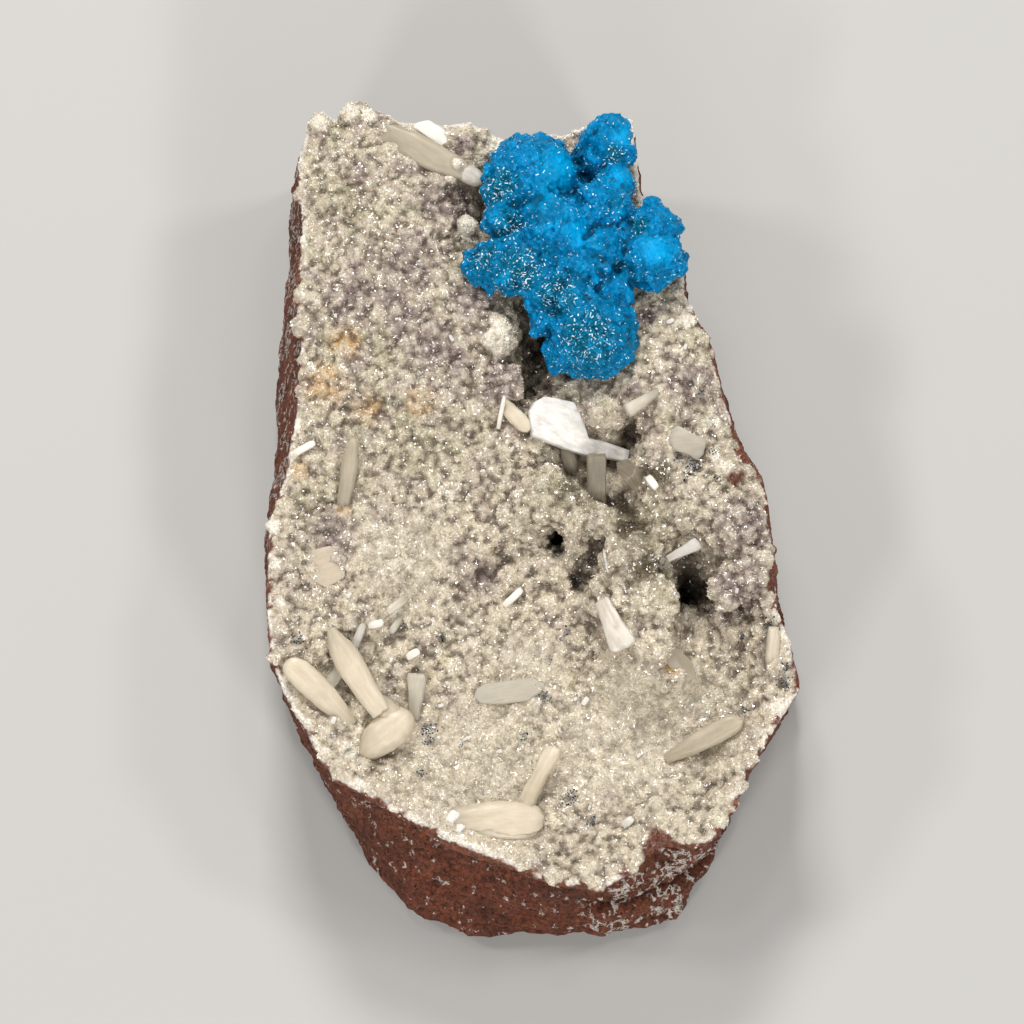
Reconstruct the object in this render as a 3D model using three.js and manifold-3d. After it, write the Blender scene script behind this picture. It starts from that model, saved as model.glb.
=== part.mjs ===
// A cavansite specimen: a chunk of red-brown basalt, one side of it the wall of a gas pocket. A crust of
// druse (tiny sparkling crystals over rounded lumps) lines that wall, cream stilbite crystals stand and lie
// in the druse, and one cluster of blue cavansite balls sits by the upper right edge.
// Millimetres, +Z up. The specimen lies on its flat back (z = 0) with the crystals upwards and its long side
// along Y. The origin is on the back, under the middle of the specimen.

import * as THREE from "three";
import { mergeVertices } from "three/addons/utils/BufferGeometryUtils.js";
import Module from "manifold-3d";

const wasm = await Module();
wasm.setup();

// Driving dimensions
const seatGap = 0.3; // clearance between a piece and what it grew on
const crustThickness = 1.3;
const druseGrid = 3.15; // spacing of the crust's facets
const wallGrid = 4.5; // spacing of the facets of the wall under the crust
const blockWidth = 64;
const blockLength = 98;
const blockFloor = -5;
const rockTop = 45; // the rock is carved down from this height
const rockLevels = [0, 0.12, 0.4, 0.72, 1]; // shares of the height from the back up to the rim
const backInset = 3; // how far the flat back stays inside the outline above it
const rockRoughness = 0.55;
const crustOverhang = 0.35; // how far the crust stands out past the rock's side
const plainBall = 2.5; // a smaller ball or lump has 20 facets, a larger one 80
const lumpUnevenness = 0.07; // as a share of the radius
const ballUnevenness = 0.09;
const middle = { x: 0, y: 2 };

// Where the druse meets the rock's side, clockwise from the upper left corner: x, y, height.
const rim = [
  [-26, 39, 26.5], [-24.5, 44, 27], [-20.5, 43.5, 27], [-18, 45.5, 27], [-14.5, 44, 26.5], [-7, 43.5, 26.5],
  [-3.5, 42, 26], [3, 42.5, 26], [7.5, 44, 27], [11, 44.5, 27], [11.8, 35, 27], [14.5, 33.5, 27],
  [16.6, 28, 27], [16.6, 23.5, 27], [19.5, 17.5, 27], [20.2, 13.5, 27], [22, 7.5, 27], [24.8, 3, 27],
  [25.5, -4, 27.5], [25.5, -10, 26], [27.5, -14.5, 25], [28.8, -19, 23.5], [26.4, -22.5, 22.5],
  [23.5, -27.5, 21.5], [19.5, -35, 20.5], [17, -36, 20], [13.6, -35, 20], [10.5, -38.5, 20],
  [7.5, -40.5, 20], [4, -40, 20], [-0.5, -38.5, 20.5], [-5.7, -36.5, 21.3], [-11.5, -34, 22.3],
  [-16.5, -31.5, 23], [-21.5, -29, 23.5], [-24, -24.5, 24], [-26.7, -20, 24.3], [-28.2, -15.5, 24.5],
  [-28.7, -9, 24.7], [-28.4, -1, 25], [-26.4, 4.5, 26], [-25.4, 11, 26.5], [-25.2, 17.5, 26.8],
  [-25.8, 24.5, 27], [-25.3, 31, 27],
];

// The rock's outline just above its back, the same way round: x, y.
const back = [
  [-28.2, 46], [-20, 47.5], [-10.5, 46.8], [3.5, 46], [12.5, 45.5], [14.5, 38], [18.3, 27.5], [22.5, 15.5],
  [26, 6], [27, -3.5], [29.2, -9.5], [30.2, -14.5], [28, -19], [22.7, -27], [17.5, -36.8], [15.5, -40.5],
  [12, -41.5], [7.5, -42.5], [3, -43.2], [-3.5, -43.2], [-10, -42.3], [-13.2, -40.8], [-16.5, -37.4],
  [-20.4, -31], [-25, -22.8], [-29, -12.8], [-30.3, 0], [-29.8, 9.5], [-29, 20], [-28.3, 31],
];

// Heights of the druse away from the rim: x, y, height.
const upperField = [
  [-22.5, 40.5, 27.5], [-14.5, 38.5, 27], [-8, 39, 26], [-22.5, 31.5, 27], [-14.5, 30, 27.5], [-9, 32, 25.5],
  [-6.5, 35, 23], [-22, 21, 27], [-14.5, 20.5, 28], [-8, 21, 27], [-3, 18.5, 26], [-22, 13, 27.2],
  [-14.5, 12, 28], [-8, 12, 27.5], [-2.5, 14, 25.5],
];
const middleField = [
  [-23, 8, 25.5], [-15.5, 8, 25.5], [-9, 6.5, 25.5], [-3.5, 8, 24.5], [-24.5, 0, 25], [-16.5, -1, 25],
  [-10, -1, 25], [-5, -0.5, 23], [-25.5, -7.5, 24.5], [-19, -10, 24], [-11, -9.5, 22.5], [-4.5, -8, 20.5],
  [1, -9.5, 19],
];
const lowerBowl = [
  [-24, -15, 23.5], [-16.5, -17, 21.5], [-9, -17.5, 19.5], [-1.5, -17.5, 18], [5, -13, 18], [-21, -24, 22],
  [-14.5, -27, 20.5], [-8, -27.5, 18.5], [-1.5, -26, 17], [6, -23.5, 16.5], [13, -21.5, 17], [-11, -31, 21],
  [-3.5, -33, 18.5], [3, -34, 18], [9.5, -33, 17.5], [16, -29.5, 18.5], [18.5, -12.5, 18], [17, -10, 19],
  [21, -10.5, 20], [22.5, -15, 19.2], [20.5, -19.5, 17.5], [25.5, -20.5, 21.5], [18, -25, 18],
];
const rightButtress = [
  [9.5, -3.5, 25.5], [12.5, -7, 26.5], [11.5, -12.5, 26], [13, -16, 24.5], [20, -2, 28.5], [23.5, -6.5, 28],
  [18, 4, 27.5], [17, 9.5, 27.5], [18, 16, 28], [15, 13, 27.5], [14, 19.5, 27.5], [8, 10, 26.5],
  [4.5, 1, 24.5], [-0.5, 0, 24.5], [2.5, 5, 22.5], [3, 35, 27], [9.5, 39.5, 27], [7.5, 28.5, 26],
  [13, 29.5, 26], [4, 22, 22],
];
const heights = [...rim, ...upperField, ...middleField, ...lowerBowl, ...rightButtress];

// Hollows with steep walls: half length, half width, turn in degrees, and how deep they are below the druse
// round them.
const hollows = [
  { x: -4.5, y: 35, long: 5, wide: 2.2, turn: 75, depth: 5 },
  { x: 0.3, y: 19.4, long: 5.4, wide: 2.1, turn: 98, depth: 9 },
  { x: 1.4, y: 15.4, long: 3.2, wide: 2.2, turn: 10, depth: 9 },
  { x: 10.5, y: 7, long: 4, wide: 2.6, turn: -20, depth: 9 },
  { x: 7.8, y: 2, long: 3.6, wide: 2.2, turn: 90, depth: 9 },
  { x: 5, y: -3.6, long: 4.6, wide: 1.9, turn: -25, depth: 8 },
  { x: 17, y: -6, long: 3, wide: 1.6, turn: 60, depth: 12 },
  { x: 18.8, y: -7.6, long: 3, wide: 1.3, turn: -25, depth: 10 },
  { x: -21.4, y: 1.5, long: 2.4, wide: 1.2, turn: 90, depth: 2.5 },
  { x: -18.5, y: 10.4, long: 5.5, wide: 1, turn: 5, depth: 1.8 },
  { x: -11, y: 9.6, long: 4, wide: 0.9, turn: -12, depth: 1.5 },
  { x: -4.2, y: -2, long: 2.8, wide: 1, turn: 105, depth: 4.5 },
];

// Rounded lumps of druse that stand out or hang over a hollow: x, y, height of the middle, radius.
const lumps = [
  [-23.6, 44.1, 26.3, 1.6], [-19.8, 44.9, 26, 1.9], [-17.5, 44.1, 26, 1.5], [-7.5, 42.9, 26, 1.8],
  [-4.2, 41.5, 25, 1.8], [-7.3, 32, 26, 1.5], [-7.1, 22.3, 25.8, 2.2], [-3.9, 19.4, 25.5, 2.4],
  [-2.7, 14.2, 25, 2], [14, 22.6, 25, 2.4], [16.8, 18.5, 25.8, 2.4], [13, 17, 26, 2.4],
  [18.5, 15.2, 26.5, 1.6], [11.7, 13.6, 26, 2.2], [14.7, 11.5, 26.6, 2.4], [7.4, 10.7, 27, 2.3],
  [1, 1.6, 24.3, 3.1], [4.2, 0, 24.4, 2.9], [-1.6, 0, 24, 2.2], [7.9, -1.1, 24, 2],
  [10.7, -5.1, 24.8, 2.9], [12.8, -10, 25, 2.9], [13.1, -15.1, 24, 2.2], [18.1, 0.7, 26.5, 3.3],
  [21.9, -2, 26.2, 3.3], [23.6, -7.2, 26, 2.9], [20.5, 4.1, 26.6, 2.9], [21.1, -9.2, 25.2, 2.2],
];

// The cavansite's balls of radiating blades: x, y, height of the middle, radius.
const cavansiteBalls = [
  [-0.1, 36.4, 29.3, 5], [6.2, 39.2, 28, 2.4], [8.7, 40.5, 29.6, 3], [9, 35.8, 29.8, 2.4],
  [-3.6, 34.6, 29.2, 2.2], [-3.3, 31.6, 29.5, 2.4], [-5.6, 26.7, 28.2, 2.2], [-2.3, 26.7, 29.4, 3.1],
  [2.5, 30.1, 30.2, 4.2], [7.6, 32.7, 30.2, 3.2], [8, 27.9, 31.6, 2], [13.3, 30.7, 30.2, 2.6],
  [13, 27.2, 29.9, 3.5], [10.2, 28.6, 29.2, 2.7], [1.3, 24.5, 29.2, 2.9], [5.3, 26.6, 29.8, 3],
  [8.6, 23.7, 29.4, 2.4], [4.6, 22.4, 29, 2.8], [6.6, 18.5, 28.6, 4.6], [1.4, 20.9, 28.2, 2],
  [2.9, 17.2, 27.2, 2.1], [10.6, 18, 27.6, 1.4],
];

// Stilbite crystals: name, root, tip, width, thickness, tilt and kind. root and tip are x, y and how far
// above the druse the crystal's axis runs there. width and thickness are across the blade, and tilt is the
// degrees that its broad face leans from level. A sheaf is a bundle of blades. Crystals with the same name
// grew through each other and are one piece.
const crystals = [
  ["upper_blade", [-17.5, 44, 0.2], [-6, 37.2, 1.6], 4, 2.4, 20, "sheaf"],
  ["upper_blade", [-13, 43.6, 0.4], [-8.8, 41.6, 1.2], 2, 1.6, 10],
  ["left_post", [-20.6, 0.2, 0.4], [-19.7, 7.2, 2.2], 1.9, 1.5, 0, "sheaf"],
  ["lower_left_blade", [-20, -23.4, 0.2], [-26.8, -16.8, 1.5], 2.9, 1.9, -10],
  ["lower_left_pair", [-22, -13.4, 1.4], [-15, -22.6, 2.6], 3.1, 2.3, 8],
  ["lower_left_pair", [-18.8, -27, 1.2], [-12.9, -22.8, 2.6], 3.9, 3, 0, "sheaf"],
  ["lower_left_pair", [-20.2, -20.6, 0.4], [-18.2, -16.8, 1.1], 1.2, 1],
  ["lower_left_needle", [-19.2, -15.8, 1], [-17.6, -13, 1.9], 0.8, 0.7],
  ["lower_spray", [-12.4, -22.2, 0.2], [-12.6, -17.4, 1.4], 1.9, 1.3, 0, "sheaf"],
  ["bowl_plate", [1.6, -18, 0.2], [-6.4, -20, 0.9], 3.4, 1.8, 15],
  ["front_sheaf", [-10.4, -32.4, 0.8], [1, -33.4, 2], 5, 3.2, 12, "sheaf"],
  ["front_sheaf", [-1.4, -32, 1.4], [2.6, -25, 3.6], 2.2, 1.6, -12],
  ["right_bar", [14.4, -26.4, 0.4], [23, -21.8, 1.6], 2.7, 2, 6],
  ["striped_plate", [7.4, -10.8, 1.4], [10.2, -16.8, 2.2], 2.9, 1.2, 10],
  ["buttress_rod", [12.2, -6, 0.6], [17.6, -4.6, 2.6], 1.5, 1.3],
  ["pearl_blade", [-0.9, 10.6, 2.2], [10.6, 5.6, 6.6], 5.2, 1.6, 6],
  ["hollow_post", [7.9, 1.4, 2.6], [7.2, 5.4, 5.4], 2.2, 1.8],
  ["hollow_stub", [4.7, 4.9, 1], [3.9, 7.2, 1.4], 1.7, 1.4],
  ["left_wing", [-4.8, 11.6, 0.8], [-1.4, 9, 1.6], 1.9, 1.3, 10],
  ["left_wing", [-4.9, 9.2, 1.2], [-4, 11.6, 2.4], 0.7, 0.7],
  ["right_blade", [14, 13.5, 0.9], [9.6, 10.2, 2.4], 2, 1.4],
  ["glassy_block", [14, 8.2, 0.8], [19, 5.8, 1.2], 3.2, 2.2, 14],
  ["glassy_stub", [9.6, 5, 2.6], [12, 3.6, 3.4], 2.4, 1.8],
  ["rim_blade", [25.6, -18, 0.6], [25, -12.6, 1.3], 2, 1.5, 12],
  ["cave_wedge", [13.6, -18, 0.2], [18, -16.4, 1.4], 3.8, 2, -15],
  ["left_plate", [-24.4, -7.6, 0.2], [-20.2, -4.6, 1], 3.4, 1.6, 12],
  ["left_chip", [-26, 5.9, 0.6], [-23.6, 7, 1.1], 0.9, 0.8],
  ["buttress_chip", [12.2, 3.1, 0.8], [13.8, 1.7, 1.2], 1, 0.8],
  ["bowl_chip", [-3.3, -9.9, 0.6], [-1, -7.9, 1.2], 0.9, 0.8],
  ["front_chip", [9.3, -34.1, 0.6], [11, -32.7, 1.2], 1, 0.9],
  ["field_rod", [-16, -11.3, 1], [-12.8, -9.4, 1.4], 1.3, 1.1],
  ["field_stub", [-15.6, -13.9, 1.1], [-14.5, -12.3, 1.5], 0.9, 0.8],
].map(([name, root, tip, width, thickness, tilt = 0, kind = "blade"]) => (
  { name, root, tip, width, thickness, tilt, kind }
));
// Where two crystals meet without growing through each other, the first keeps clear of the second.
const keepsClearOf = {
  hollow_post: "pearl_blade",
  hollow_stub: "pearl_blade",
  glassy_stub: "pearl_blade",
  left_wing: "pearl_blade",
};

const colours = {
  basalt: "#7a3f30",
  druse: "#b9ad9a",
  cavansite: "#0c8fca",
  stilbite: "#ddceac",
  pearl: "#efebe4",
};

// A repeatable run of numbers from 0 to 1.
function chance(seed) {
  let state = seed;
  return () => {
    state = (state + 0x6d2b79f5) | 0;
    let mixed = Math.imul(state ^ (state >>> 15), 1 | state);
    mixed = (mixed + Math.imul(mixed ^ (mixed >>> 7), 61 | mixed)) ^ mixed;
    return ((mixed ^ (mixed >>> 14)) >>> 0) / 2 ** 32;
  };
}

// A geometry with only positions, its shared vertices merged.
function weld(geometry) {
  const bare = geometry.clone();
  bare.deleteAttribute("normal");
  bare.deleteAttribute("uv");
  return mergeVertices(bare);
}

function solidOf(geometry) {
  const welded = weld(geometry);
  return new wasm.Manifold(
    new wasm.Mesh({
      numProp: 3,
      vertProperties: new Float32Array(welded.attributes.position.array),
      triVerts: new Uint32Array(welded.index.array),
    }),
  );
}

function geometryOf(solid) {
  const mesh = solid.getMesh();
  const geometry = new THREE.BufferGeometry();
  geometry.setAttribute("position", new THREE.BufferAttribute(new Float32Array(mesh.vertProperties), 3));
  geometry.setIndex(new THREE.BufferAttribute(new Uint32Array(mesh.triVerts), 1));
  geometry.computeVertexNormals();
  return geometry;
}

function joined(solids) {
  return solids.reduce((sum, solid) => sum.add(solid));
}

function largestPiece(solid) {
  return solid.decompose().reduce((best, piece) => (piece.volume() > best.volume() ? piece : best));
}

// Where a ray from the middle, turned by an angle, meets the outline of the back.
function backReach(angle) {
  const east = Math.cos(angle);
  const north = Math.sin(angle);
  for (let i = 0; i < back.length; i++) {
    const [ax, ay] = back[i];
    const [bx, by] = back[(i + 1) % back.length];
    const edgeX = bx - ax;
    const edgeY = by - ay;
    const cross = east * edgeY - north * edgeX;
    const along = (north * (ax - middle.x) - east * (ay - middle.y)) / cross;
    const reach = ((ax - middle.x) * edgeY - (ay - middle.y) * edgeX) / cross;
    if (along >= 0 && along <= 1 && reach > 0) return reach;
  }
  throw new Error("the outline doesn't go round the middle");
}

// A closed body through rings of points that go counterclockwise seen from its end, with a cap at each end.
function loft(rings, startPoint, endPoint) {
  const count = rings[0].length;
  const last = (rings.length - 1) * count;
  const start = rings.length * count;
  const faces = [];
  for (let i = 0; i < count; i++) {
    const next = (i + 1) % count;
    faces.push(start, next, i, start + 1, last + i, last + next);
    for (let ring = 0; ring < last; ring += count)
      faces.push(ring + i, ring + next, ring + count + next, ring + i, ring + count + next, ring + count + i);
  }
  const shape = new THREE.BufferGeometry().setFromPoints([...rings.flat(), startPoint, endPoint]);
  shape.setIndex(faces);
  return solidOf(shape);
}

// The whole chunk of rock, before the pocket is carved into its top. spread widens it all round.
function rockBlank(spread) {
  const random = chance(11);
  const uneven = (level) => (level > 0 && level < 1 ? (random() * 2 - 1) * rockRoughness : 0);
  const ring = (level, top) =>
    [...rim].reverse().map(([x, y, height]) => {
      const angle = Math.atan2(y - middle.y, x - middle.x);
      const climb = Math.max(0, (level - rockLevels[1]) / (1 - rockLevels[1]));
      const low = backReach(angle) - (level > 0 ? 0 : backInset);
      const high = Math.hypot(x - middle.x, y - middle.y);
      const reach = THREE.MathUtils.lerp(low, high, climb) + spread + uneven(level);
      const z = (top ?? level * height) + uneven(level);
      return new THREE.Vector3(middle.x + reach * Math.cos(angle), middle.y + reach * Math.sin(angle), z);
    });
  const rings = [...rockLevels.map((level) => ring(level)), ring(1, rockTop)];
  return loft(rings, new THREE.Vector3(middle.x, middle.y, 0), new THREE.Vector3(middle.x, middle.y, rockTop));
}

// A block from below the back up to a surface, its top facets about one spacing wide.
function blockUnder(heightAt, spacing, seed) {
  const block = weld(
    new THREE.BoxGeometry(
      blockWidth, blockLength, 1,
      Math.round(blockWidth / spacing), Math.round(blockLength / spacing), 1,
    ),
  );
  const spots = block.attributes.position;
  const random = chance(seed);
  for (let i = 0; i < spots.count; i++) {
    const atSide = Math.abs(spots.getX(i)) > blockWidth / 2 - 0.01;
    const atEnd = Math.abs(spots.getY(i)) > blockLength / 2 - 0.01;
    const shift = atSide || atEnd ? 0 : 0.28 * spacing;
    const x = spots.getX(i) + (random() * 2 - 1) * shift;
    const y = spots.getY(i) + (random() * 2 - 1) * shift;
    spots.setXYZ(i, x, y, spots.getZ(i) > 0 ? heightAt(x, y) : blockFloor);
  }
  return solidOf(block);
}

// The broad lie of the druse: a mean of the known heights, the near ones counting most.
function broadHeight(x, y) {
  let sum = 0;
  let weights = 0;
  for (const [hx, hy, height] of heights) {
    const weight = 1 / ((hx - x) ** 2 + (hy - y) ** 2 + 0.8) ** 2;
    sum += weight * height;
    weights += weight;
  }
  return sum / weights;
}

function hollowDepth(x, y) {
  let depth = 0;
  for (const hollow of hollows) {
    const turn = THREE.MathUtils.degToRad(hollow.turn);
    const dx = x - hollow.x;
    const dy = y - hollow.y;
    const along = (dx * Math.cos(turn) + dy * Math.sin(turn)) / hollow.long;
    const across = (dy * Math.cos(turn) - dx * Math.sin(turn)) / hollow.wide;
    const rest = 1 - THREE.MathUtils.smoothstep(Math.hypot(along, across), 0.45, 1.15);
    depth = Math.max(depth, hollow.depth * rest);
  }
  return depth;
}

// Small rounded bumps of druse, packed side by side.
const bumpSpacing = 3.4;
const bumpRise = 0.9;
const bumps = [];
{
  const random = chance(5);
  for (let x = -blockWidth / 2; x < blockWidth / 2; x += bumpSpacing)
    for (let y = -blockLength / 2; y < blockLength / 2; y += bumpSpacing)
      bumps.push([x + random() * bumpSpacing, y + random() * bumpSpacing, (0.5 + 0.35 * random()) * bumpSpacing]);
}

function bumpHeight(x, y) {
  let height = 0;
  for (const [bx, by, radius] of bumps) {
    const share = ((x - bx) ** 2 + (y - by) ** 2) / radius ** 2;
    if (share < 1) height = Math.max(height, bumpRise * Math.sqrt(1 - share));
  }
  return height;
}

function druseHeight(x, y) {
  return broadHeight(x, y) - hollowDepth(x, y) + bumpHeight(x, y) - bumpRise / 2;
}

// The wall under the crust stays below the lowest druse near it.
function wallHeight(x, y) {
  const near = [-0.45, 0, 0.45].map((share) => share * wallGrid);
  const around = near.flatMap((dx) => near.map((dy) => [x + dx, y + dy]));
  return Math.min(...around.map(([ax, ay]) => broadHeight(ax, ay) - hollowDepth(ax, ay))) - crustThickness;
}

// A lump or ball with flat facets, as its crystals' ends give it.
function ball(x, y, z, radius, unevenness, seed) {
  const shape = weld(new THREE.IcosahedronGeometry(1, radius < plainBall ? 0 : 1));
  const spots = shape.attributes.position;
  const random = chance(seed);
  for (let i = 0; i < spots.count; i++) {
    const reach = radius * (1 + (random() * 2 - 1) * unevenness);
    spots.setXYZ(i, x + spots.getX(i) * reach, y + spots.getY(i) * reach, z + spots.getZ(i) * reach);
  }
  return solidOf(shape);
}

function druseLump([x, y, z, radius], i, clearance) {
  return ball(x, y, z, radius + clearance, lumpUnevenness, 100 + i);
}

// Everything from the floor up to the druse, raised by a clearance.
function ground(clearance) {
  const field = blockUnder((x, y) => druseHeight(x, y) + clearance, druseGrid, 3);
  return joined([field, ...lumps.map((lump, i) => druseLump(lump, i, clearance))]);
}

// The cross-section of a stilbite blade, and of a sheaf of them, with grooves between its blades.
const bladeSection = [[0.5, 0], [0.36, 0.5], [-0.36, 0.5], [-0.5, 0], [-0.36, -0.5], [0.36, -0.5]];
const sheafSection = [
  [0.5, 0], [0.4, 0.44], [0.14, 0.3], [-0.05, 0.5], [-0.26, 0.36], [-0.42, 0.42], [-0.5, -0.1], [0, -0.5],
];
// How wide the crystal is along its length: a blade narrows to a wedge at each end, a sheaf spreads.
const bladeStations = [[0, 0.5], [0.15, 0.95], [0.8, 1], [1, 0.45]];
const sheafStations = [[0, 0.85], [0.45, 0.82], [0.9, 1], [1, 0.75]];

// One crystal, or one sheaf, from its root to its tip, made bulkier all round by a margin.
function stilbite({ root, tip, width, thickness, tilt, kind }, margin = 0) {
  const sheaf = kind === "sheaf";
  const [foot, head] = [root, tip].map(([x, y, lift]) => new THREE.Vector3(x, y, druseHeight(x, y) + lift));
  const along = head.clone().sub(foot);
  const length = along.length();
  along.normalize();
  const side = new THREE.Vector3(0, 0, 1).cross(along).normalize();
  side.applyAxisAngle(along, THREE.MathUtils.degToRad(tilt));
  const up = along.clone().cross(side);
  const at = (share, across, rise) =>
    foot.clone()
      .addScaledVector(along, share * length + (share - 0.5) * 2 * margin)
      .addScaledVector(side, across)
      .addScaledVector(up, rise);
  const stations = sheaf ? sheafStations : bladeStations;
  const section = sheaf ? sheafSection : bladeSection;
  const rings = stations.map(([share, size]) =>
    section.map(([across, rise], i) => {
      const step = sheaf && share > 0.6 ? (i % 2) * -0.06 : 0;
      const broad = across * (width * size + 2 * margin);
      return at(share + step, broad, rise * (thickness * Math.sqrt(size) + 2 * margin));
    }),
  );
  return loft(rings, at(-0.03, 0, 0), at(1.03, 0, 0));
}

function piece(name, solid, colour, roughness) {
  const geometry = geometryOf(solid);
  geometry.computeBoundingBox();
  const seat = new THREE.Vector3();
  geometry.boundingBox.getCenter(seat);
  geometry.translate(-seat.x, -seat.y, -seat.z);
  const material = new THREE.MeshStandardMaterial({ color: colour, roughness, metalness: 0, flatShading: true });
  const mesh = new THREE.Mesh(geometry, material);
  mesh.name = name;
  mesh.position.copy(seat);
  return mesh;
}

const specimen = new THREE.Group();
const raisedGround = ground(seatGap);

// Basalt, its pocket wall just below the crust
const basalt = largestPiece(
  rockBlank(0).intersect(blockUnder((x, y) => wallHeight(x, y) - seatGap, wallGrid, 7)),
);
specimen.add(piece("basalt_matrix", basalt, colours.basalt, 0.9));

// The druse crust over the whole pocket wall, some of its lumps standing out past the rock's side
const field = blockUnder(druseHeight, druseGrid, 3).intersect(rockBlank(crustOverhang));
const crust = largestPiece(
  joined([field, ...lumps.map((lump, i) => druseLump(lump, i, 0))]).subtract(blockUnder(wallHeight, wallGrid, 7)),
);
specimen.add(piece("druse_crust", crust, colours.druse, 0.55));

// The cavansite cluster
const cluster = joined(
  cavansiteBalls.map(([x, y, z, radius], i) => ball(x, y, z, radius, ballUnevenness, 300 + i)),
);
specimen.add(piece("cavansite_cluster", largestPiece(cluster.subtract(raisedGround)), colours.cavansite, 0.35));

// The stilbite crystals
for (const name of new Set(crystals.map((crystal) => crystal.name))) {
  const grown = crystals.filter((crystal) => crystal.name === name);
  let solid = joined(grown.map((crystal) => stilbite(crystal))).subtract(raisedGround);
  for (const neighbour of crystals.filter((other) => other.name === keepsClearOf[name]))
    solid = solid.subtract(stilbite(neighbour, seatGap));
  const colour = name === "pearl_blade" ? colours.pearl : colours.stilbite;
  specimen.add(piece("stilbite_" + name, largestPiece(solid), colour, 0.3));
}

export default specimen;
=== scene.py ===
"""The looks of a cavansite specimen: blue cavansite and cream stilbite on a sparkling druse, on red-brown basalt."""

import math

import bmesh
import bpy
import numpy as np
from mathutils import Matrix, Vector, noise
from mathutils.bvhtree import BVHTree


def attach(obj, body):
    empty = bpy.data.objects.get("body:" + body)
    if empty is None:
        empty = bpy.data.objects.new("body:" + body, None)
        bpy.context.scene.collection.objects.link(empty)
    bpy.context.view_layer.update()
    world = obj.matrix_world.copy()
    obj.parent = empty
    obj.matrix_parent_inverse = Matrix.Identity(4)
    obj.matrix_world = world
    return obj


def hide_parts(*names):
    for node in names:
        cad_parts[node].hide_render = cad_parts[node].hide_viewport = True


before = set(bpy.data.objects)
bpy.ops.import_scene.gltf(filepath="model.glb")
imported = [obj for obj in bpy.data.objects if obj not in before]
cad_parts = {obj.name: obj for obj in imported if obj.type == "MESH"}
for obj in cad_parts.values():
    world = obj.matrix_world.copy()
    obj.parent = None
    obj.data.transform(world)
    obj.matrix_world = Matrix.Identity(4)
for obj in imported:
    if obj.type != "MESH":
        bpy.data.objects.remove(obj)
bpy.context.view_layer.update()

# Pieces are worked on in millimetres and brought to metres when they are set in place.
MM = 0.001
# Triangles that the finest meshes are thinned out to
BASALT_TRIANGLES, DRUSE_TRIANGLES, CAVANSITE_TRIANGLES = 140000, 195000, 80000
# Edges sharper than this many degrees stay sharp on the stilbites.
SHARPEST_BEND = 38

# Soft patches on the specimen: x, y and radius.
OCHRE_PATCHES = [
    (-22.7, 13.6, 3.6), (-20.6, 18.2, 2.8), (-12.3, 11.6, 2.2), (-25.4, 4.3, 1.6), (-18.0, 11.0, 2.4),
    (-20.6, 0.0, 1.2), (15.0, -17.0, 1.2),
]
CHALK_PATCHES = [
    (-7.2, 31.3, 1.3), (-3.9, 19.0, 2.1), (-11.4, 42.7, 1.4), (-4.2, 41.6, 1.3), (-15.0, -10.9, 1.0),
    (-3.6, 40.4, 0.9), (-19.9, -26.2, 1.1), (-9.1, 1.4, 0.8), (-1.2, 44.0, 1.5), (16.6, 20.4, 1.0),
    (-5.6, 38.8, 0.7), (20.9, 3.6, 1.0), (19.6, 9.2, 1.0), (14.2, -5.4, 1.0),
]
YELLOW_PATCHES = [(-9.6, -15.5, 1.5), (-11.0, -18.0, 1.3), (4.2, -17.6, 1.3), (8.4, -13.3, 1.1)]
MAUVE_PATCHES = [
    (-9.1, 34.9, 6.0), (-13.5, 28.0, 5.0), (-6.9, 23.3, 4.4), (-20.1, 23.7, 4.2), (-3.6, 14.2, 4.6),
    (-9.1, 15.4, 4.2), (22.4, -9.0, 5.0), (22.9, -2.5, 5.2), (17.1, 13.0, 4.0), (-13.8, 20.0, 4.0),
    (-5.8, -6.8, 3.6), (-22.0, -2.6, 4.2), (-11.0, 18.0, 4.6), (-15.6, 23.4, 3.4),
]
OLIVE_PATCHES = [
    (-21.3, 34.9, 4.4), (-15.7, 17.9, 4.4), (11.7, -1.7, 5.4), (13.8, -7.3, 5.4), (2.9, 1.4, 5.4),
    (-24.2, 0.9, 3.6), (-12.3, 6.8, 5.6), (18.3, 18.7, 3.2), (-21.0, 2.0, 4.0),
]
TONGUE_PATCHES = [(10.9, -2.4, 3.9), (12.0, -6.4, 3.6), (9.6, 0.6, 2.6), (4.6, 1.8, 3.0), (13.6, 3.6, 2.4)]
CREAM_PATCHES = [
    (-5.8, -28.4, 12.0), (9.5, -24.0, 11.0), (-14.5, -5.1, 6.0), (18.1, -22.0, 7.0), (-0.8, -17.0, 6.4),
]
# Where tiny dark blue and green crystals sit in the crust, and where they are thickest
SPECK_PATCHES = [
    (-11.4, -23.5, 1.0), (-10.0, -13.5, 0.6), (-14.1, -12.4, 0.7), (3.7, -12.2, 0.7), (1.8, -15.0, 0.5),
    (1.3, -19.4, 1.0), (-1.1, -23.5, 0.6), (-12.2, -28.2, 0.6), (17.0, 3.1, 0.7), (18.2, 12.5, 0.6),
    (25.6, -12.6, 0.8), (27.2, -17.3, 0.7), (4.0, -30.5, 1.3), (6.2, -33.2, 0.8), (19.4, 5.7, 0.6),
    (17.3, 4.3, 1.3), (19.8, 2.3, 0.5), (15.8, 5.3, 0.8), (-11.3, -24.7, 0.8), (-7.9, -25.0, 0.4),
    (-5.7, -25.3, 0.4), (27.1, -18.7, 1.0), (22.9, -21.1, 0.5), (22.8, -13.4, 0.4), (-25.3, -14.4, 0.9),
]
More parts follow.
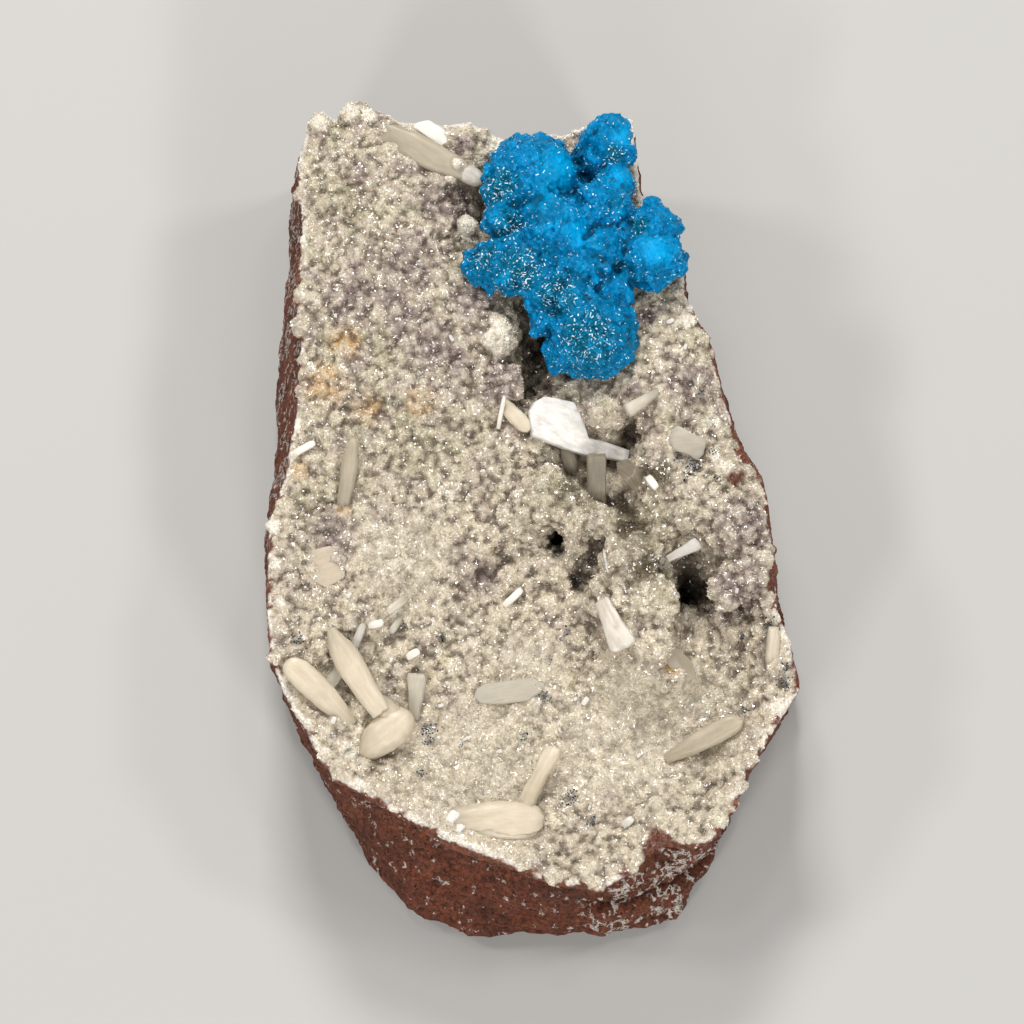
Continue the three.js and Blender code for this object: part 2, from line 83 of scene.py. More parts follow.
# The deepest places, where no light gets in: the crust there is painted dark as shade, and dull
CAVE_PATCHES = [
    (17.0, -6.3, 2.2), (7.7, 1.2, 1.7), (7.3, -2.0, 1.2), (1.6, 5.9, 1.8), (-1.6, 20.5, 2.0), (2.9, -3.9, 1.1),
    (4.9, -6.6, 1.2), (21.8, -9.7, 1.0), (-3.9, -1.3, 1.0), (-19.0, 11.6, 0.9), (-15.8, 11.8, 0.9),
    (-12.4, 12.0, 0.8), (-21.4, 1.4, 0.9), (-19.6, 1.9, 0.8), (2.2, -2.0, 1.5),
]
# Chalky nodules that stand out of the crust: x, y and radius, and the height of one that sits on a crystal
NODULES = [
    (-7.1, 31.9, 27.0, 1.1), (-9.0, 37.8, 0.8), (-3.6, 19.8, 1.1), (-4.8, 18.7, 1.0), (-11.4, 42.9, 0.8),
    (-23.6, 43.6, 1.2), (-20.2, 44.8, 1.2), (-18.2, 44.6, 1.0), (16.8, 20.6, 1.0), (-8.4, 39.1, 27.2, 0.8),
]
# Along the rim: broken chalky places, and places where the basalt comes up to the edge
RIM_CHALK_PATCHES = [
    (26.3, -21.2, 1.5), (25.0, -24.2, 1.0), (21.6, -31.0, 1.0), (18.0, -36.2, 0.9), (-28.2, -2.0, 1.3),
    (-27.9, -5.9, 1.3), (-27.4, -10.4, 1.2), (-24.6, -23.6, 1.1), (-22.4, -26.4, 1.1), (-18.8, -29.9, 1.3),
    (-26.0, 44.2, 0.8), (-13.2, -33.8, 1.0), (-7.0, -36.8, 0.9), (8.0, -41.0, 1.0), (19.6, 4.8, 1.1),
]
RIM_BROWN_PATCHES = [
    (-28.3, -3.8, 1.6), (-28.0, -8.3, 1.6), (25.9, -22.6, 1.2), (24.0, -26.2, 1.4), (9.6, -38.6, 1.5),
    (13.0, -37.4, 1.5), (-27.0, 0.6, 1.2), (7.6, 47.2, 1.4), (28.6, -16.4, 1.2), (24.6, -0.6, 1.4),
    (-25.6, 20.0, 1.2), (20.6, 12.0, 1.1),
]
# Where a piece of bare basalt shows through the crust
BARE_PATCHES = [
    (21.6, 2.5, 0.8), (22.5, 3.0, 0.6), (13.3, -35.2, 1.1), (14.2, -35.8, 1.1), (12.7, -36.4, 1.2),
    (13.8, -36.9, 1.3), (15.0, -36.6, 1.0),
]
# Where the cavansite's blades are so fine that it looks smooth and is painted a brighter azure as a glow, and where
# they stand out and glitter, with more painted glints
CALM_PATCHES = [
    (2.9, 36.5, 3.6), (13.3, 27.2, 2.8), (5.1, 28.8, 2.4), (1.6, 33.4, 2.2), (9.6, 35.6, 2.0), (9.8, 40.6, 1.8),
]
GLITTER_PATCHES = [
    (-1.4, 25.4, 3.4), (6.1, 17.4, 4.2), (-3.6, 34.6, 2.6), (8.9, 38.6, 1.6), (2.9, 22.5, 3.2), (11.6, 30.0, 1.6),
    (-2.6, 30.6, 2.2), (-5.6, 27.0, 2.2),
]

# The cleft between the cavansite's upper lobes: the balls at its bottom as x, y, z and radius, and how it
# is cut, as x, y, radius and depth.
CLEFT_BALLS = [(6.2, 36.8, 27.4, 2.1), (5.4, 38.4, 27.2, 1.8)]
CLEFT = [(4.6, 39.8, 1.0, 0.9), (5.0, 38.4, 1.1, 1.1), (5.7, 37.0, 1.2, 1.2), (6.3, 35.8, 1.1, 0.9)]
# Where its right lobes are narrower
PARED = [(12.2, 43.6, 3.0), (12.4, 40.4, 2.2), (16.6, 34.2, 3.0)]

# Each crystal: its node, root, tip, width, thickness, twist in degrees, form and finish.
CRYSTALS = [
    ("upper_blade", (-17.6, 43.5, 27.1), (-6.9, 38.1, 26.4), 3.3, 1.7, 12, "leaf", "beige"),
    ("upper_blade", (-9.2, 39.1, 26.5), (-5.5, 37.3, 26.2), 2.1, 1.5, 12, "stub", "silky"),
    ("left_post", (-20.7, 0.4, 24.5), (-19.4, 7.3, 28.2), 1.9, 1.5, 0, "post", "beige"),
    ("lower_left_blade", (-19.5, -23.2, 22.3), (-26.6, -17.0, 25.9), 3.0, 1.9, -10, "club", "milky"),
    ("lower_left_pair", (-21.9, -13.4, 25.2), (-16.3, -22.4, 23.9), 3.1, 2.2, 8, "spindle", "milky"),
    ("lower_left_pair", (-18.6, -26.6, 21.9), (-13.2, -22.2, 23.4), 4.2, 3.2, 0, "bud", "milky"),
    ("lower_left_pair", (-16.8, -20.8, 23.6), (-13.7, -24.4, 23.0), 2.6, 1.8, 0, "stub", "milky"),
    ("lower_left_pair", (-22.8, -20.2, 23.3), (-19.6, -15.6, 23.4), 1.4, 0.9, 0, "rod", "glassy"),
    ("lower_left_needle", (-19.7, -15.8, 23.4), (-18.3, -12.8, 25.5), 0.9, 0.6, 0, "rod", "clear"),
    ("lower_spray", (-12.9, -22.3, 20.8), (-12.6, -17.5, 22.5), 2.1, 1.1, 0, "fan", "glassy"),
    ("front_sheaf", (-9.2, -34.0, 20.2), (0.4, -34.3, 18.9), 3.2, 2.4, 20, "club", "milky"),
    ("front_sheaf", (-9.7, -33.3, 20.8), (1.1, -33.1, 19.6), 3.9, 2.5, 4, "sheaf", "milky"),
    ("front_sheaf", (-7.0, -34.6, 19.9), (-0.4, -35.0, 18.9), 2.6, 2.0, 26, "stub", "milky"),
    ("front_sheaf", (-10.0, -35.3, 20.7), (-8.1, -32.3, 21.5), 1.4, 1.0, 25, "flake", "white"),
    ("front_sheaf", (-9.2, -35.6, 20.5), (-7.5, -33.8, 21.3), 1.1, 0.9, -15, "flake", "white"),
    ("front_sheaf", (-1.4, -32.6, 19.6), (2.5, -25.2, 20.8), 2.3, 1.7, -12, "stem", "milky"),
    ("right_bar", (14.4, -26.3, 18.9), (22.7, -22.4, 21.3), 2.4, 1.6, 6, "club", "beige"),
    ("buttress_rod", (14.5, -5.9, 26.5), (18.0, -4.1, 26.9), 1.4, 1.0, 0, "fan", "clear"),
    ("hollow_post", (7.0, 0.0, 22.5), (6.9, 5.6, 27.4), 2.1, 1.2, 0, "prism", "shaded"),
    ("hollow_stub", (4.4, 4.8, 23.2), (3.6, 7.6, 24.7), 1.7, 1.4, 0, "stub", "shaded"),
    ("left_wing", (-3.3, 11.7, 26.6), (-0.4, 8.6, 26.5), 1.8, 1.2, 10, "stub", "milky"),
    ("left_wing", (-3.8, 9.0, 25.9), (-3.1, 12.1, 28.0), 0.5, 0.5, 0, "rod", "white"),
    ("right_blade", (13.5, 12.4, 28.6), (9.9, 9.9, 29.1), 1.6, 1.1, 0, "fan", "glassy"),
    ("striped_plate", (7.4, -10.2, 25.2), (9.9, -15.9, 26.4), 3.0, 1.0, 24, "fan", "silky"),
    ("rim_blade", (25.7, -17.5, 22.7), (25.9, -13.2, 25.6), 1.6, 1.3, 12, "spindle", "milky"),
    ("left_chip", (-26.0, 5.8, 26.9), (-23.7, 7.1, 27.0), 0.8, 0.6, 0, "rod", "white"),
    ("buttress_chip", (12.4, 3.1, 27.5), (13.4, 1.6, 28.0), 0.9, 0.5, 0, "flake", "white"),
    ("bowl_chip", (-3.2, -9.8, 21.3), (-1.2, -7.9, 21.3), 0.8, 0.6, 0, "rod", "white"),
    ("front_chip", (9.5, -33.9, 17.7), (10.8, -32.8, 19.2), 1.0, 0.8, 0, "flake", "white"),
    ("field_rod", (-13.8, -9.6, 24.2), (-15.8, -11.5, 24.9), 1.0, 0.8, 0, "rod", "glassy"),
    ("field_stub", (-14.4, -11.6, 23.5), (-15.4, -13.5, 24.0), 0.8, 0.7, 0, "rod", "glassy"),
]
# Each flat crystal: its node, finish, thickness, and the outline of its upper face.
SLABS = [
    ("pearl_blade", "pearl", 1.4, [
        (-0.4, 10.6, 27.3), (0.3, 11.7, 27.3), (1.3, 12.3, 27.2), (4.5, 11.8, 26.6), (5.4, 10.3, 26.2),
        (6.1, 8.0, 25.6), (8.0, 7.8, 24.8), (10.6, 7.1, 23.9), (10.4, 5.9, 23.7), (7.9, 6.1, 24.7),
        (5.7, 6.2, 25.4), (3.4, 6.8, 26.1), (0.0, 7.9, 27.0),
    ]),
    ("upper_blade", "white", 0.9, [
        (-13.3, 43.3, 27.6), (-12.7, 43.8, 27.7), (-11.5, 44.1, 27.6), (-9.6, 43.0, 27.2), (-9.4, 41.7, 27.0),
        (-10.2, 41.2, 27.0),
    ]),
    ("bowl_plate", "glassy", 1.4, [
        (-6.4, -19.6, 19.9), (-6.2, -18.8, 19.9), (-5.3, -18.2, 19.9), (-2.5, -17.7, 19.6), (0.0, -17.3, 19.3),
        (1.4, -17.9, 19.0), (0.9, -18.9, 19.1), (-0.6, -19.9, 19.2), (-3.6, -20.3, 19.5), (-5.8, -20.3, 19.8),
    ]),
    ("left_plate", "matt", 1.8, [
        (-25.2, -7.2, 24.7), (-24.0, -4.5, 25.2), (-22.0, -4.1, 25.5), (-20.2, -5.4, 25.2), (-20.4, -7.4, 24.6),
        (-22.4, -8.6, 24.5),
    ]),
    ("glassy_block", "glassy", 2.2, [
        (14.7, 6.8, 28.7), (15.0, 8.0, 28.9), (15.7, 8.5, 29.0), (17.0, 7.6, 29.2), (18.8, 6.9, 28.7),
        (18.4, 5.3, 28.5), (17.7, 4.7, 28.2), (16.8, 5.3, 28.5), (15.3, 5.8, 28.5),
    ]),
    ("glassy_stub", "shaded", 1.8, [
        (9.0, 5.2, 26.0), (10.3, 5.3, 27.0), (11.2, 4.2, 28.0), (10.9, 3.2, 28.3), (10.0, 2.4, 28.0),
        (9.1, 3.8, 27.0),
    ]),
    ("cave_wedge", "beige", 2.0, [
        (14.2, -14.1, 23.2), (15.9, -15.0, 22.6), (17.2, -16.1, 21.6), (17.8, -17.7, 20.8), (16.8, -18.2, 21.0),
        (15.5, -17.7, 21.8), (14.4, -16.4, 22.8),
    ]),
]
# Loose-looking flakes grown on the crust: x, y, turn in degrees, length and width.
FLAKES = [
    (-21.5, -23.1, 70, 0.8, 0.5), (-7.3, -24.2, 25, 1.3, 0.3), (7.8, -6.0, 100, 2.6, 0.25),
    (5.7, -19.7, 55, 1.0, 0.6), (-2.3, 6.8, 60, 0.7, 0.3), (4.6, -19.5, 40, 0.5, 0.4),
    (-8.9, 18.6, 120, 0.8, 0.4), (-17.0, -12.5, 10, 1.8, 0.9), (-13.0, -15.4, 30, 1.6, 0.9),
    (15.0, 20.6, 20, 0.9, 0.5), (16.6, 17.6, 70, 0.7, 0.4), (21.9, -9.6, 80, 0.6, 0.4),
    (11.5, -25.8, 45, 0.6, 0.4), (2.9, -22.9, 110, 0.6, 0.3), (-19.9, -9.6, 60, 0.7, 0.4),
    (-10.0, -20.7, 20, 0.6, 0.4), (6.1, -31.6, 70, 0.6, 0.3), (-3.6, -25.3, 15, 0.5, 0.4),
    (16.7, -10.7, 100, 0.8, 0.4), (18.2, -5.1, 30, 0.7, 0.5),
]


# ---- Colour and nodes


def linear(code):
    """An sRGB hex colour as linear RGBA."""
    shares = [int(code[i : i + 2], 16) / 255 for i in (1, 3, 5)]
    return [s / 12.92 if s <= 0.04045 else ((s + 0.055) / 1.055) ** 2.4 for s in shares] + [1.0]


def add_node(tree, kind, inputs=None, **settings):
    """A node with its settings, its inputs set to values or linked to sockets. A node given for an input
    stands for its first output."""
    node = tree.nodes.new(kind)
    for name, value in settings.items():
        setattr(node, name, value)
    for name, value in (inputs or {}).items():
        if isinstance(value, bpy.types.Node):
            value = value.outputs[0]
        if isinstance(value, bpy.types.NodeSocket):
            tree.links.new(value, node.inputs[name])
        else:
            node.inputs[name].default_value = value
    return node


# ---- Meshes


def new_piece(name, mesh):
    piece = bpy.data.objects.new(name, mesh)
    bpy.context.scene.collection.objects.link(piece)
    return piece


def merged_copy(node, name):
    """A CAD node's mesh in millimetres, its loose triangles joined."""
    body = bmesh.new()
    body.from_mesh(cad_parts[node].data)
    body.transform(Matrix.Scale(1 / MM, 4))
    bmesh.ops.remove_doubles(body, verts=body.verts, dist=0.001)
    mesh = bpy.data.meshes.new(name)
    body.to_mesh(mesh)
    body.free()
    return new_piece(name, mesh)


def skin(mesh):
    """The mesh's faces, ready to be searched."""
    return BVHTree.FromPolygons([v.co for v in mesh.vertices], [p.vertices[:] for p in mesh.polygons])


def top_at(faces, x, y):
    """The highest place on those faces at x, y, or None where there is none."""
    return faces.ray_cast(Vector((x, y, 100)), Vector((0, 0, -1)))[0]


def add_balls(piece, balls):
    """Adds balls, each given as x, y, z and radius. Without z it stands on the piece, sunk halfway in."""
    body = bmesh.new()
    body.from_mesh(piece.data)
    faces = BVHTree.FromBMesh(body)
    for x, y, *z, radius in balls:
        middle = Vector((x, y, *z)) if z else top_at(faces, x, y)
        bmesh.ops.create_icosphere(body, subdivisions=2, radius=radius, matrix=Matrix.Translation(middle))
    body.to_mesh(piece.data)
    body.free()


def settle(piece):
    """The piece's modifiers, applied."""
    graph = bpy.context.evaluated_depsgraph_get()
    made = bpy.data.meshes.new_from_object(
        piece.evaluated_get(graph), preserve_all_data_layers=True, depsgraph=graph
    )
    piece.modifiers.clear()
    piece.data = made
    return piece


def places(mesh):
    flat = np.empty(len(mesh.vertices) * 3)
    mesh.vertices.foreach_get("co", flat)
    return flat.reshape(-1, 3)


def facings(mesh):
    flat = np.empty(len(mesh.vertices) * 3)
    mesh.vertex_normals.foreach_get("vector", flat)
    return flat.reshape(-1, 3)


def put(mesh, name, values):
    """Numbers, or colours, one for each vertex."""
    kind, field = ("FLOAT", "value") if values.ndim == 1 else ("FLOAT_COLOR", "color")
    attribute = mesh.attributes.get(name) or mesh.attributes.new(name, kind, "POINT")
    attribute.data.foreach_set(field, values.astype(np.float32).ravel())


def remesh(piece, size):
    modifier = piece.modifiers.new("remesh", "REMESH")
    modifier.mode = "VOXEL"
    modifier.voxel_size = size


def thin_out(piece, faces):
    """Brings the piece down to about so many triangles."""
    now = sum(len(p.vertices) - 2 for p in piece.data.polygons)
    if now > faces:
        modifier = piece.modifiers.new("thin out", "DECIMATE")
        modifier.ratio = faces / now
        settle(piece)


def patches(where, table, edge=0.45):
    """How much round patches with soft edges cover each place, from 0 to 1."""
    cover = np.zeros(len(where))
    for x, y, *_, radius in table:
        inside = 1 - np.hypot(where[:, 0] - x, where[:, 1] - y) / radius
        cover = np.maximum(cover, np.clip(inside / edge, 0, 1))
    return cover * cover * (3 - 2 * cover)


def clouds(where, size, seed):
    """Smooth noise from 0 to 1, its features about that many millimetres across."""
    shift = Vector((seed * 7.1, seed * 3.7, seed * 5.3))
    return np.array([0.5 + 0.5 * noise.noise(Vector(p) / size + shift) for p in where])


def averaged(mesh, rounds):
    """Each vertex's place, averaged with its neighbours' so many times over."""
    ends = np.empty(len(mesh.edges) * 2, int)
    mesh.edges.foreach_get("vertices", ends)
    a, b = ends.reshape(-1, 2).T
    average = places(mesh)
    count = np.bincount(a, minlength=len(average)) + np.bincount(b, minlength=len(average))
    for _ in range(rounds):
        sums = [
            np.bincount(a, average[b, k], len(average)) + np.bincount(b, average[a, k], len(average))
            for k in range(3)
        ]
        average = np.stack(sums, 1) / np.maximum(count, 1)[:, None]
    return average


def hollowness(mesh, rounds):
    """How far each vertex lies below its surroundings, in millimetres: the further the rounds of
    averaging reach, the wider the surroundings."""
    return ((averaged(mesh, rounds) - places(mesh)) * facings(mesh)).sum(1)


def sunkenness(where, reach):
    """How far each place lies below the average height of the face around it, in millimetres."""
    column, row = (where[:, 0] + 40).astype(int), (where[:, 1] + 55).astype(int)
    height = np.full((80, 110), -np.inf)
    np.maximum.at(height, (column, row), where[:, 2])
    filled = np.isfinite(height).astype(float)
    height[filled == 0] = 0
    span = np.arange(-3 * reach, 3 * reach + 1)
    bell = np.exp(-((span / reach) ** 2))
    for axis in (0, 1):
        height, filled = (
            np.apply_along_axis(np.convolve, axis, grid, bell, "same") for grid in (height, filled)
        )
    return (height / np.maximum(filled, 1e-6))[column, row] - where[:, 2]


def blend(colours, code, share):
    return colours + (np.array(linear(code)) - colours) * np.clip(share, 0, 1)[:, None]


# ---- Geometry Nodes


def new_tree(name, sizes):
    """A geometry tree with an input for each named size, and its two ends."""
    tree = bpy.data.node_groups.new(name, "GeometryNodeTree")
    tree.interface.new_socket("Geometry", in_out="INPUT", socket_type="NodeSocketGeometry")
    for label, kind in sizes.items():
        tree.interface.new_socket(label, in_out="INPUT", socket_type="NodeSocket" + kind)
    tree.interface.new_socket("Geometry", in_out="OUTPUT", socket_type="NodeSocketGeometry")
    return tree, add_node(tree, "NodeGroupInput"), add_node(tree, "NodeGroupOutput")


def run_tree(piece, tree, **sizes):
    """Puts the tree on the piece as a modifier with these inputs."""
    modifier = piece.modifiers.new(tree.name, "NODES")
    modifier.node_group = tree
    labels = {s.replace("_", " ").capitalize(): v for s, v in sizes.items()}
    for item in tree.interface.items_tree:
        if item.in_out == "INPUT" and item.name in labels:
            modifier[item.identifier] = labels.pop(item.name)
    if labels:
        raise ValueError(f"{tree.name} has no input {sorted(labels)}")


GROWTH_SIZES = {
    "Spacing": "Float", "Density": "Float", "Smallest": "Float", "Largest": "Float", "Length": "Float",
    "Lean": "Float", "Seed": "Int", "Finish": "Material",
}


def growth_tree(name, shapes, keep_ground):
    """A tree that grows copies of the shapes all over a mesh, as thickly as its growth attribute says.
    Each is scaled by the mesh's swell attribute, and keeps its own chance number in glint. The shapes are
    moved down their own axis, so that they stand in the ground."""
    tree, start, end = new_tree(name, GROWTH_SIZES)
    growth = add_node(tree, "GeometryNodeInputNamedAttribute", {"Name": "growth"})
    swell = add_node(tree, "GeometryNodeInputNamedAttribute", {"Name": "swell"})
    seeds = add_node(
        tree,
        "GeometryNodeDistributePointsOnFaces",
        {
            "Mesh": start.outputs["Geometry"],
            "Distance Min": start.outputs["Spacing"],
            "Density Max": start.outputs["Density"],
            "Density Factor": growth.outputs["Attribute"],
            "Seed": start.outputs["Seed"],
        },
        distribute_method="POISSON",
    )
    variants = add_node(tree, "GeometryNodeGeometryToInstance")
    for shape in shapes(tree):
        tree.links.new(shape.outputs[0], variants.inputs[0])
    lean = start.outputs["Lean"]
    back = add_node(tree, "ShaderNodeMath", {0: lean, 1: -1.0}, operation="MULTIPLY")
    least = add_node(tree, "ShaderNodeCombineXYZ", {"X": back, "Y": back, "Z": 0.0})
    most = add_node(tree, "ShaderNodeCombineXYZ", {"X": lean, "Y": lean, "Z": 2 * math.pi})
    turn = add_node(tree, "FunctionNodeRandomValue", {0: least, 1: most, "Seed": 1}, data_type="FLOAT_VECTOR")
    turned = add_node(tree, "FunctionNodeEulerToRotation", {0: turn})
    upright = add_node(
        tree, "FunctionNodeAlignRotationToVector", {"Vector": seeds.outputs["Normal"]}, axis="Z"
    )
    rotation = add_node(
        tree,
        "FunctionNodeRotateRotation",
        {"Rotation": upright, "Rotate By": turned},
        rotation_space="LOCAL",
    )
    size = add_node(
        tree,
        "FunctionNodeRandomValue",
        {2: start.outputs["Smallest"], 3: start.outputs["Largest"], "Seed": 2},
        data_type="FLOAT",
    )
    swollen = {0: size.outputs[1], 1: swell.outputs["Attribute"]}
    swollen = add_node(tree, "ShaderNodeMath", swollen, operation="MULTIPLY")
    stretch = add_node(tree, "FunctionNodeRandomValue", {2: 0.75, 3: 1.3, "Seed": 3}, data_type="FLOAT")
    long = {0: stretch.outputs[1], 1: start.outputs["Length"]}
    long = add_node(tree, "ShaderNodeMath", long, operation="MULTIPLY")
    proportions = add_node(tree, "ShaderNodeCombineXYZ", {"X": 1.0, "Y": 1.0, "Z": long})
    scale = add_node(tree, "ShaderNodeVectorMath", {0: proportions, "Scale": swollen}, operation="SCALE")
    grown = add_node(
        tree,
        "GeometryNodeInstanceOnPoints",
        {
            "Points": seeds.outputs["Points"],
            "Instance": variants,
            "Pick Instance": True,
            "Rotation": rotation,
            "Scale": scale,
        },
    )
    chance = add_node(tree, "FunctionNodeRandomValue", {2: 0.0, 3: 1.0, "Seed": 4}, data_type="FLOAT")
    marked = add_node(
        tree,
        "GeometryNodeStoreNamedAttribute",
        {"Geometry": grown, "Name": "glint", "Value": chance.outputs[1]},
        domain="INSTANCE",
    )
    real = add_node(tree, "GeometryNodeRealizeInstances", {"Geometry": marked})
    out = real.outputs[0]
    if keep_ground:
        both = add_node(tree, "GeometryNodeJoinGeometry")
        tree.links.new(start.outputs["Geometry"], both.inputs[0])
        tree.links.new(out, both.inputs[0])
        out = both.outputs[0]
    finish = add_node(tree, "GeometryNodeSetMaterial", {"Geometry": out, "Material": start.outputs["Finish"]})
    tree.links.new(finish.outputs[0], end.inputs[0])
    return tree


def round_lump(tree):
    ball = add_node(tree, "GeometryNodeMeshIcoSphere", {"Radius": 1.0, "Subdivisions": 2})
    yield add_node(tree, "GeometryNodeTransform", {"Geometry": ball, "Translation": (0, 0, -0.35)})


def angular_lump(tree):
    for size in ((1.6, 1.3, 1.2), (1.9, 1.2, 1.4), (1.4, 1.7, 1.6)):
        block = add_node(tree, "GeometryNodeMeshCube", {"Size": size})
        yield add_node(tree, "GeometryNodeTransform", {"Geometry": block, "Translation": (0, 0, -0.55)})


def druse_points(tree):
    """Two pointed crystals and a roof-shaped one, each of 4 to 8 triangles."""
    for sides, height in ((3, 1.7), (3, 1.3), (4, 1.5)):
        cone = add_node(
            tree,
            "GeometryNodeMeshCone",
            {"Vertices": sides, "Radius Top": 0.0, "Radius Bottom": 1.0, "Depth": height},
        )
        yield add_node(tree, "GeometryNodeTransform", {"Geometry": cone, "Translation": (0, 0, -0.45)})
    roof = add_node(tree, "GeometryNodeMeshCylinder", {"Vertices": 3, "Radius": 0.85, "Depth": 1.3})
    yield add_node(tree, "GeometryNodeTransform", {"Geometry": roof, "Rotation": (math.pi / 2, 0, 0)})


def bright_bars(tree):
    """Single blades that lie flat, whose pale colour is painted as glints."""
    for length, width in ((1.0, 0.2), (0.8, 0.26), (0.5, 0.3)):
        yield add_node(tree, "GeometryNodeMeshCube", {"Size": (length, width, 0.25)})


def thin_blades(tree):
    """Long pointed blades, wider than they are thick."""
    for thickness in (0.5, 0.8):
        cone = add_node(
            tree,
            "GeometryNodeMeshCone",
            {"Vertices": 4, "Radius Top": 0.0, "Radius Bottom": 1.0, "Depth": 1.0},
        )
        yield add_node(
            tree,
            "GeometryNodeTransform",
            {"Geometry": cone, "Scale": (1.0, thickness, 1.0), "Translation": (0, 0, -0.3)},
        )


def roughening_tree():
    """Pushes a surface in and out along its normals with noise of two sizes."""
    tree, start, end = new_tree(
        "Roughening", {"Coarse": "Float", "Coarse depth": "Float", "Fine": "Float", "Fine depth": "Float"}
    )
    place = add_node(tree, "GeometryNodeInputPosition")
    facing = add_node(tree, "GeometryNodeInputNormal")
    weather = add_node(tree, "GeometryNodeInputNamedAttribute", {"Name": "weather"})
    pushes = []
    for size, depth in (("Coarse", "Coarse depth"), ("Fine", "Fine depth")):
        scale = add_node(tree, "ShaderNodeMath", {0: 1.0, 1: start.outputs[size]}, operation="DIVIDE")
        bumps = add_node(tree, "ShaderNodeTexNoise", {"Vector": place, "Scale": scale, "Detail": 2.0})
        level = add_node(tree, "ShaderNodeMath", {0: bumps, 1: 0.5}, operation="SUBTRACT")
        pushes.append(add_node(tree, "ShaderNodeMath", {0: level, 1: start.outputs[depth]}, operation="MULTIPLY"))
    push = add_node(tree, "ShaderNodeMath", {0: pushes[0], 1: pushes[1]}, operation="ADD")
    held = add_node(tree, "ShaderNodeMath", {0: push, 1: weather.outputs["Attribute"]}, operation="MULTIPLY")
    offset = add_node(tree, "ShaderNodeVectorMath", {0: facing, "Scale": held}, operation="SCALE")
    moved = add_node(
        tree, "GeometryNodeSetPosition", {"Geometry": start.outputs["Geometry"], "Offset": offset}
    )
    tree.links.new(moved.outputs[0], end.inputs[0])
    return tree


# ---- Materials


def new_material(name):
    material = bpy.data.materials.new(name)
    material.use_nodes = True
    tree = material.node_tree
    tree.nodes.clear()
    shader = add_node(tree, "ShaderNodeBsdfPrincipled")
    add_node(tree, "ShaderNodeOutputMaterial", {"Surface": shader.outputs[0]})
    return material, tree, shader


# In a Map Range node, inputs 1 and 2 are the range that is read, and 3 and 4 the range that comes out. In
# a Mix node, 0 is the share and 6 and 7 are the colours, and output 2 is the mixed colour.


def scaled_place(tree):
    """Object coordinates in millimetres."""
    place = add_node(tree, "ShaderNodeTexCoord").outputs["Object"]
    return add_node(tree, "ShaderNodeMapping", {"Vector": place, "Scale": (1 / MM, 1 / MM, 1 / MM)})


def facet_normals(tree, place, per_mm, tilt):
    """Normals tilted at random, one for each cell, like the faces of crystals too small to model."""
    cells = add_node(tree, "ShaderNodeTexVoronoi", {"Vector": place, "Scale": per_mm}, feature="F1")
    lean = add_node(
        tree, "ShaderNodeVectorMath", {0: cells.outputs["Color"], 1: (0.5, 0.5, 0.5)}, operation="SUBTRACT"
    )
    leaned = add_node(tree, "ShaderNodeVectorMath", {0: lean, "Scale": tilt}, operation="SCALE")
    facing = add_node(tree, "ShaderNodeNewGeometry").outputs["Normal"]
    turned = add_node(tree, "ShaderNodeVectorMath", {0: leaned, 1: facing}, operation="ADD")
    return add_node(tree, "ShaderNodeVectorMath", {0: turned}, operation="NORMALIZE").outputs[0]


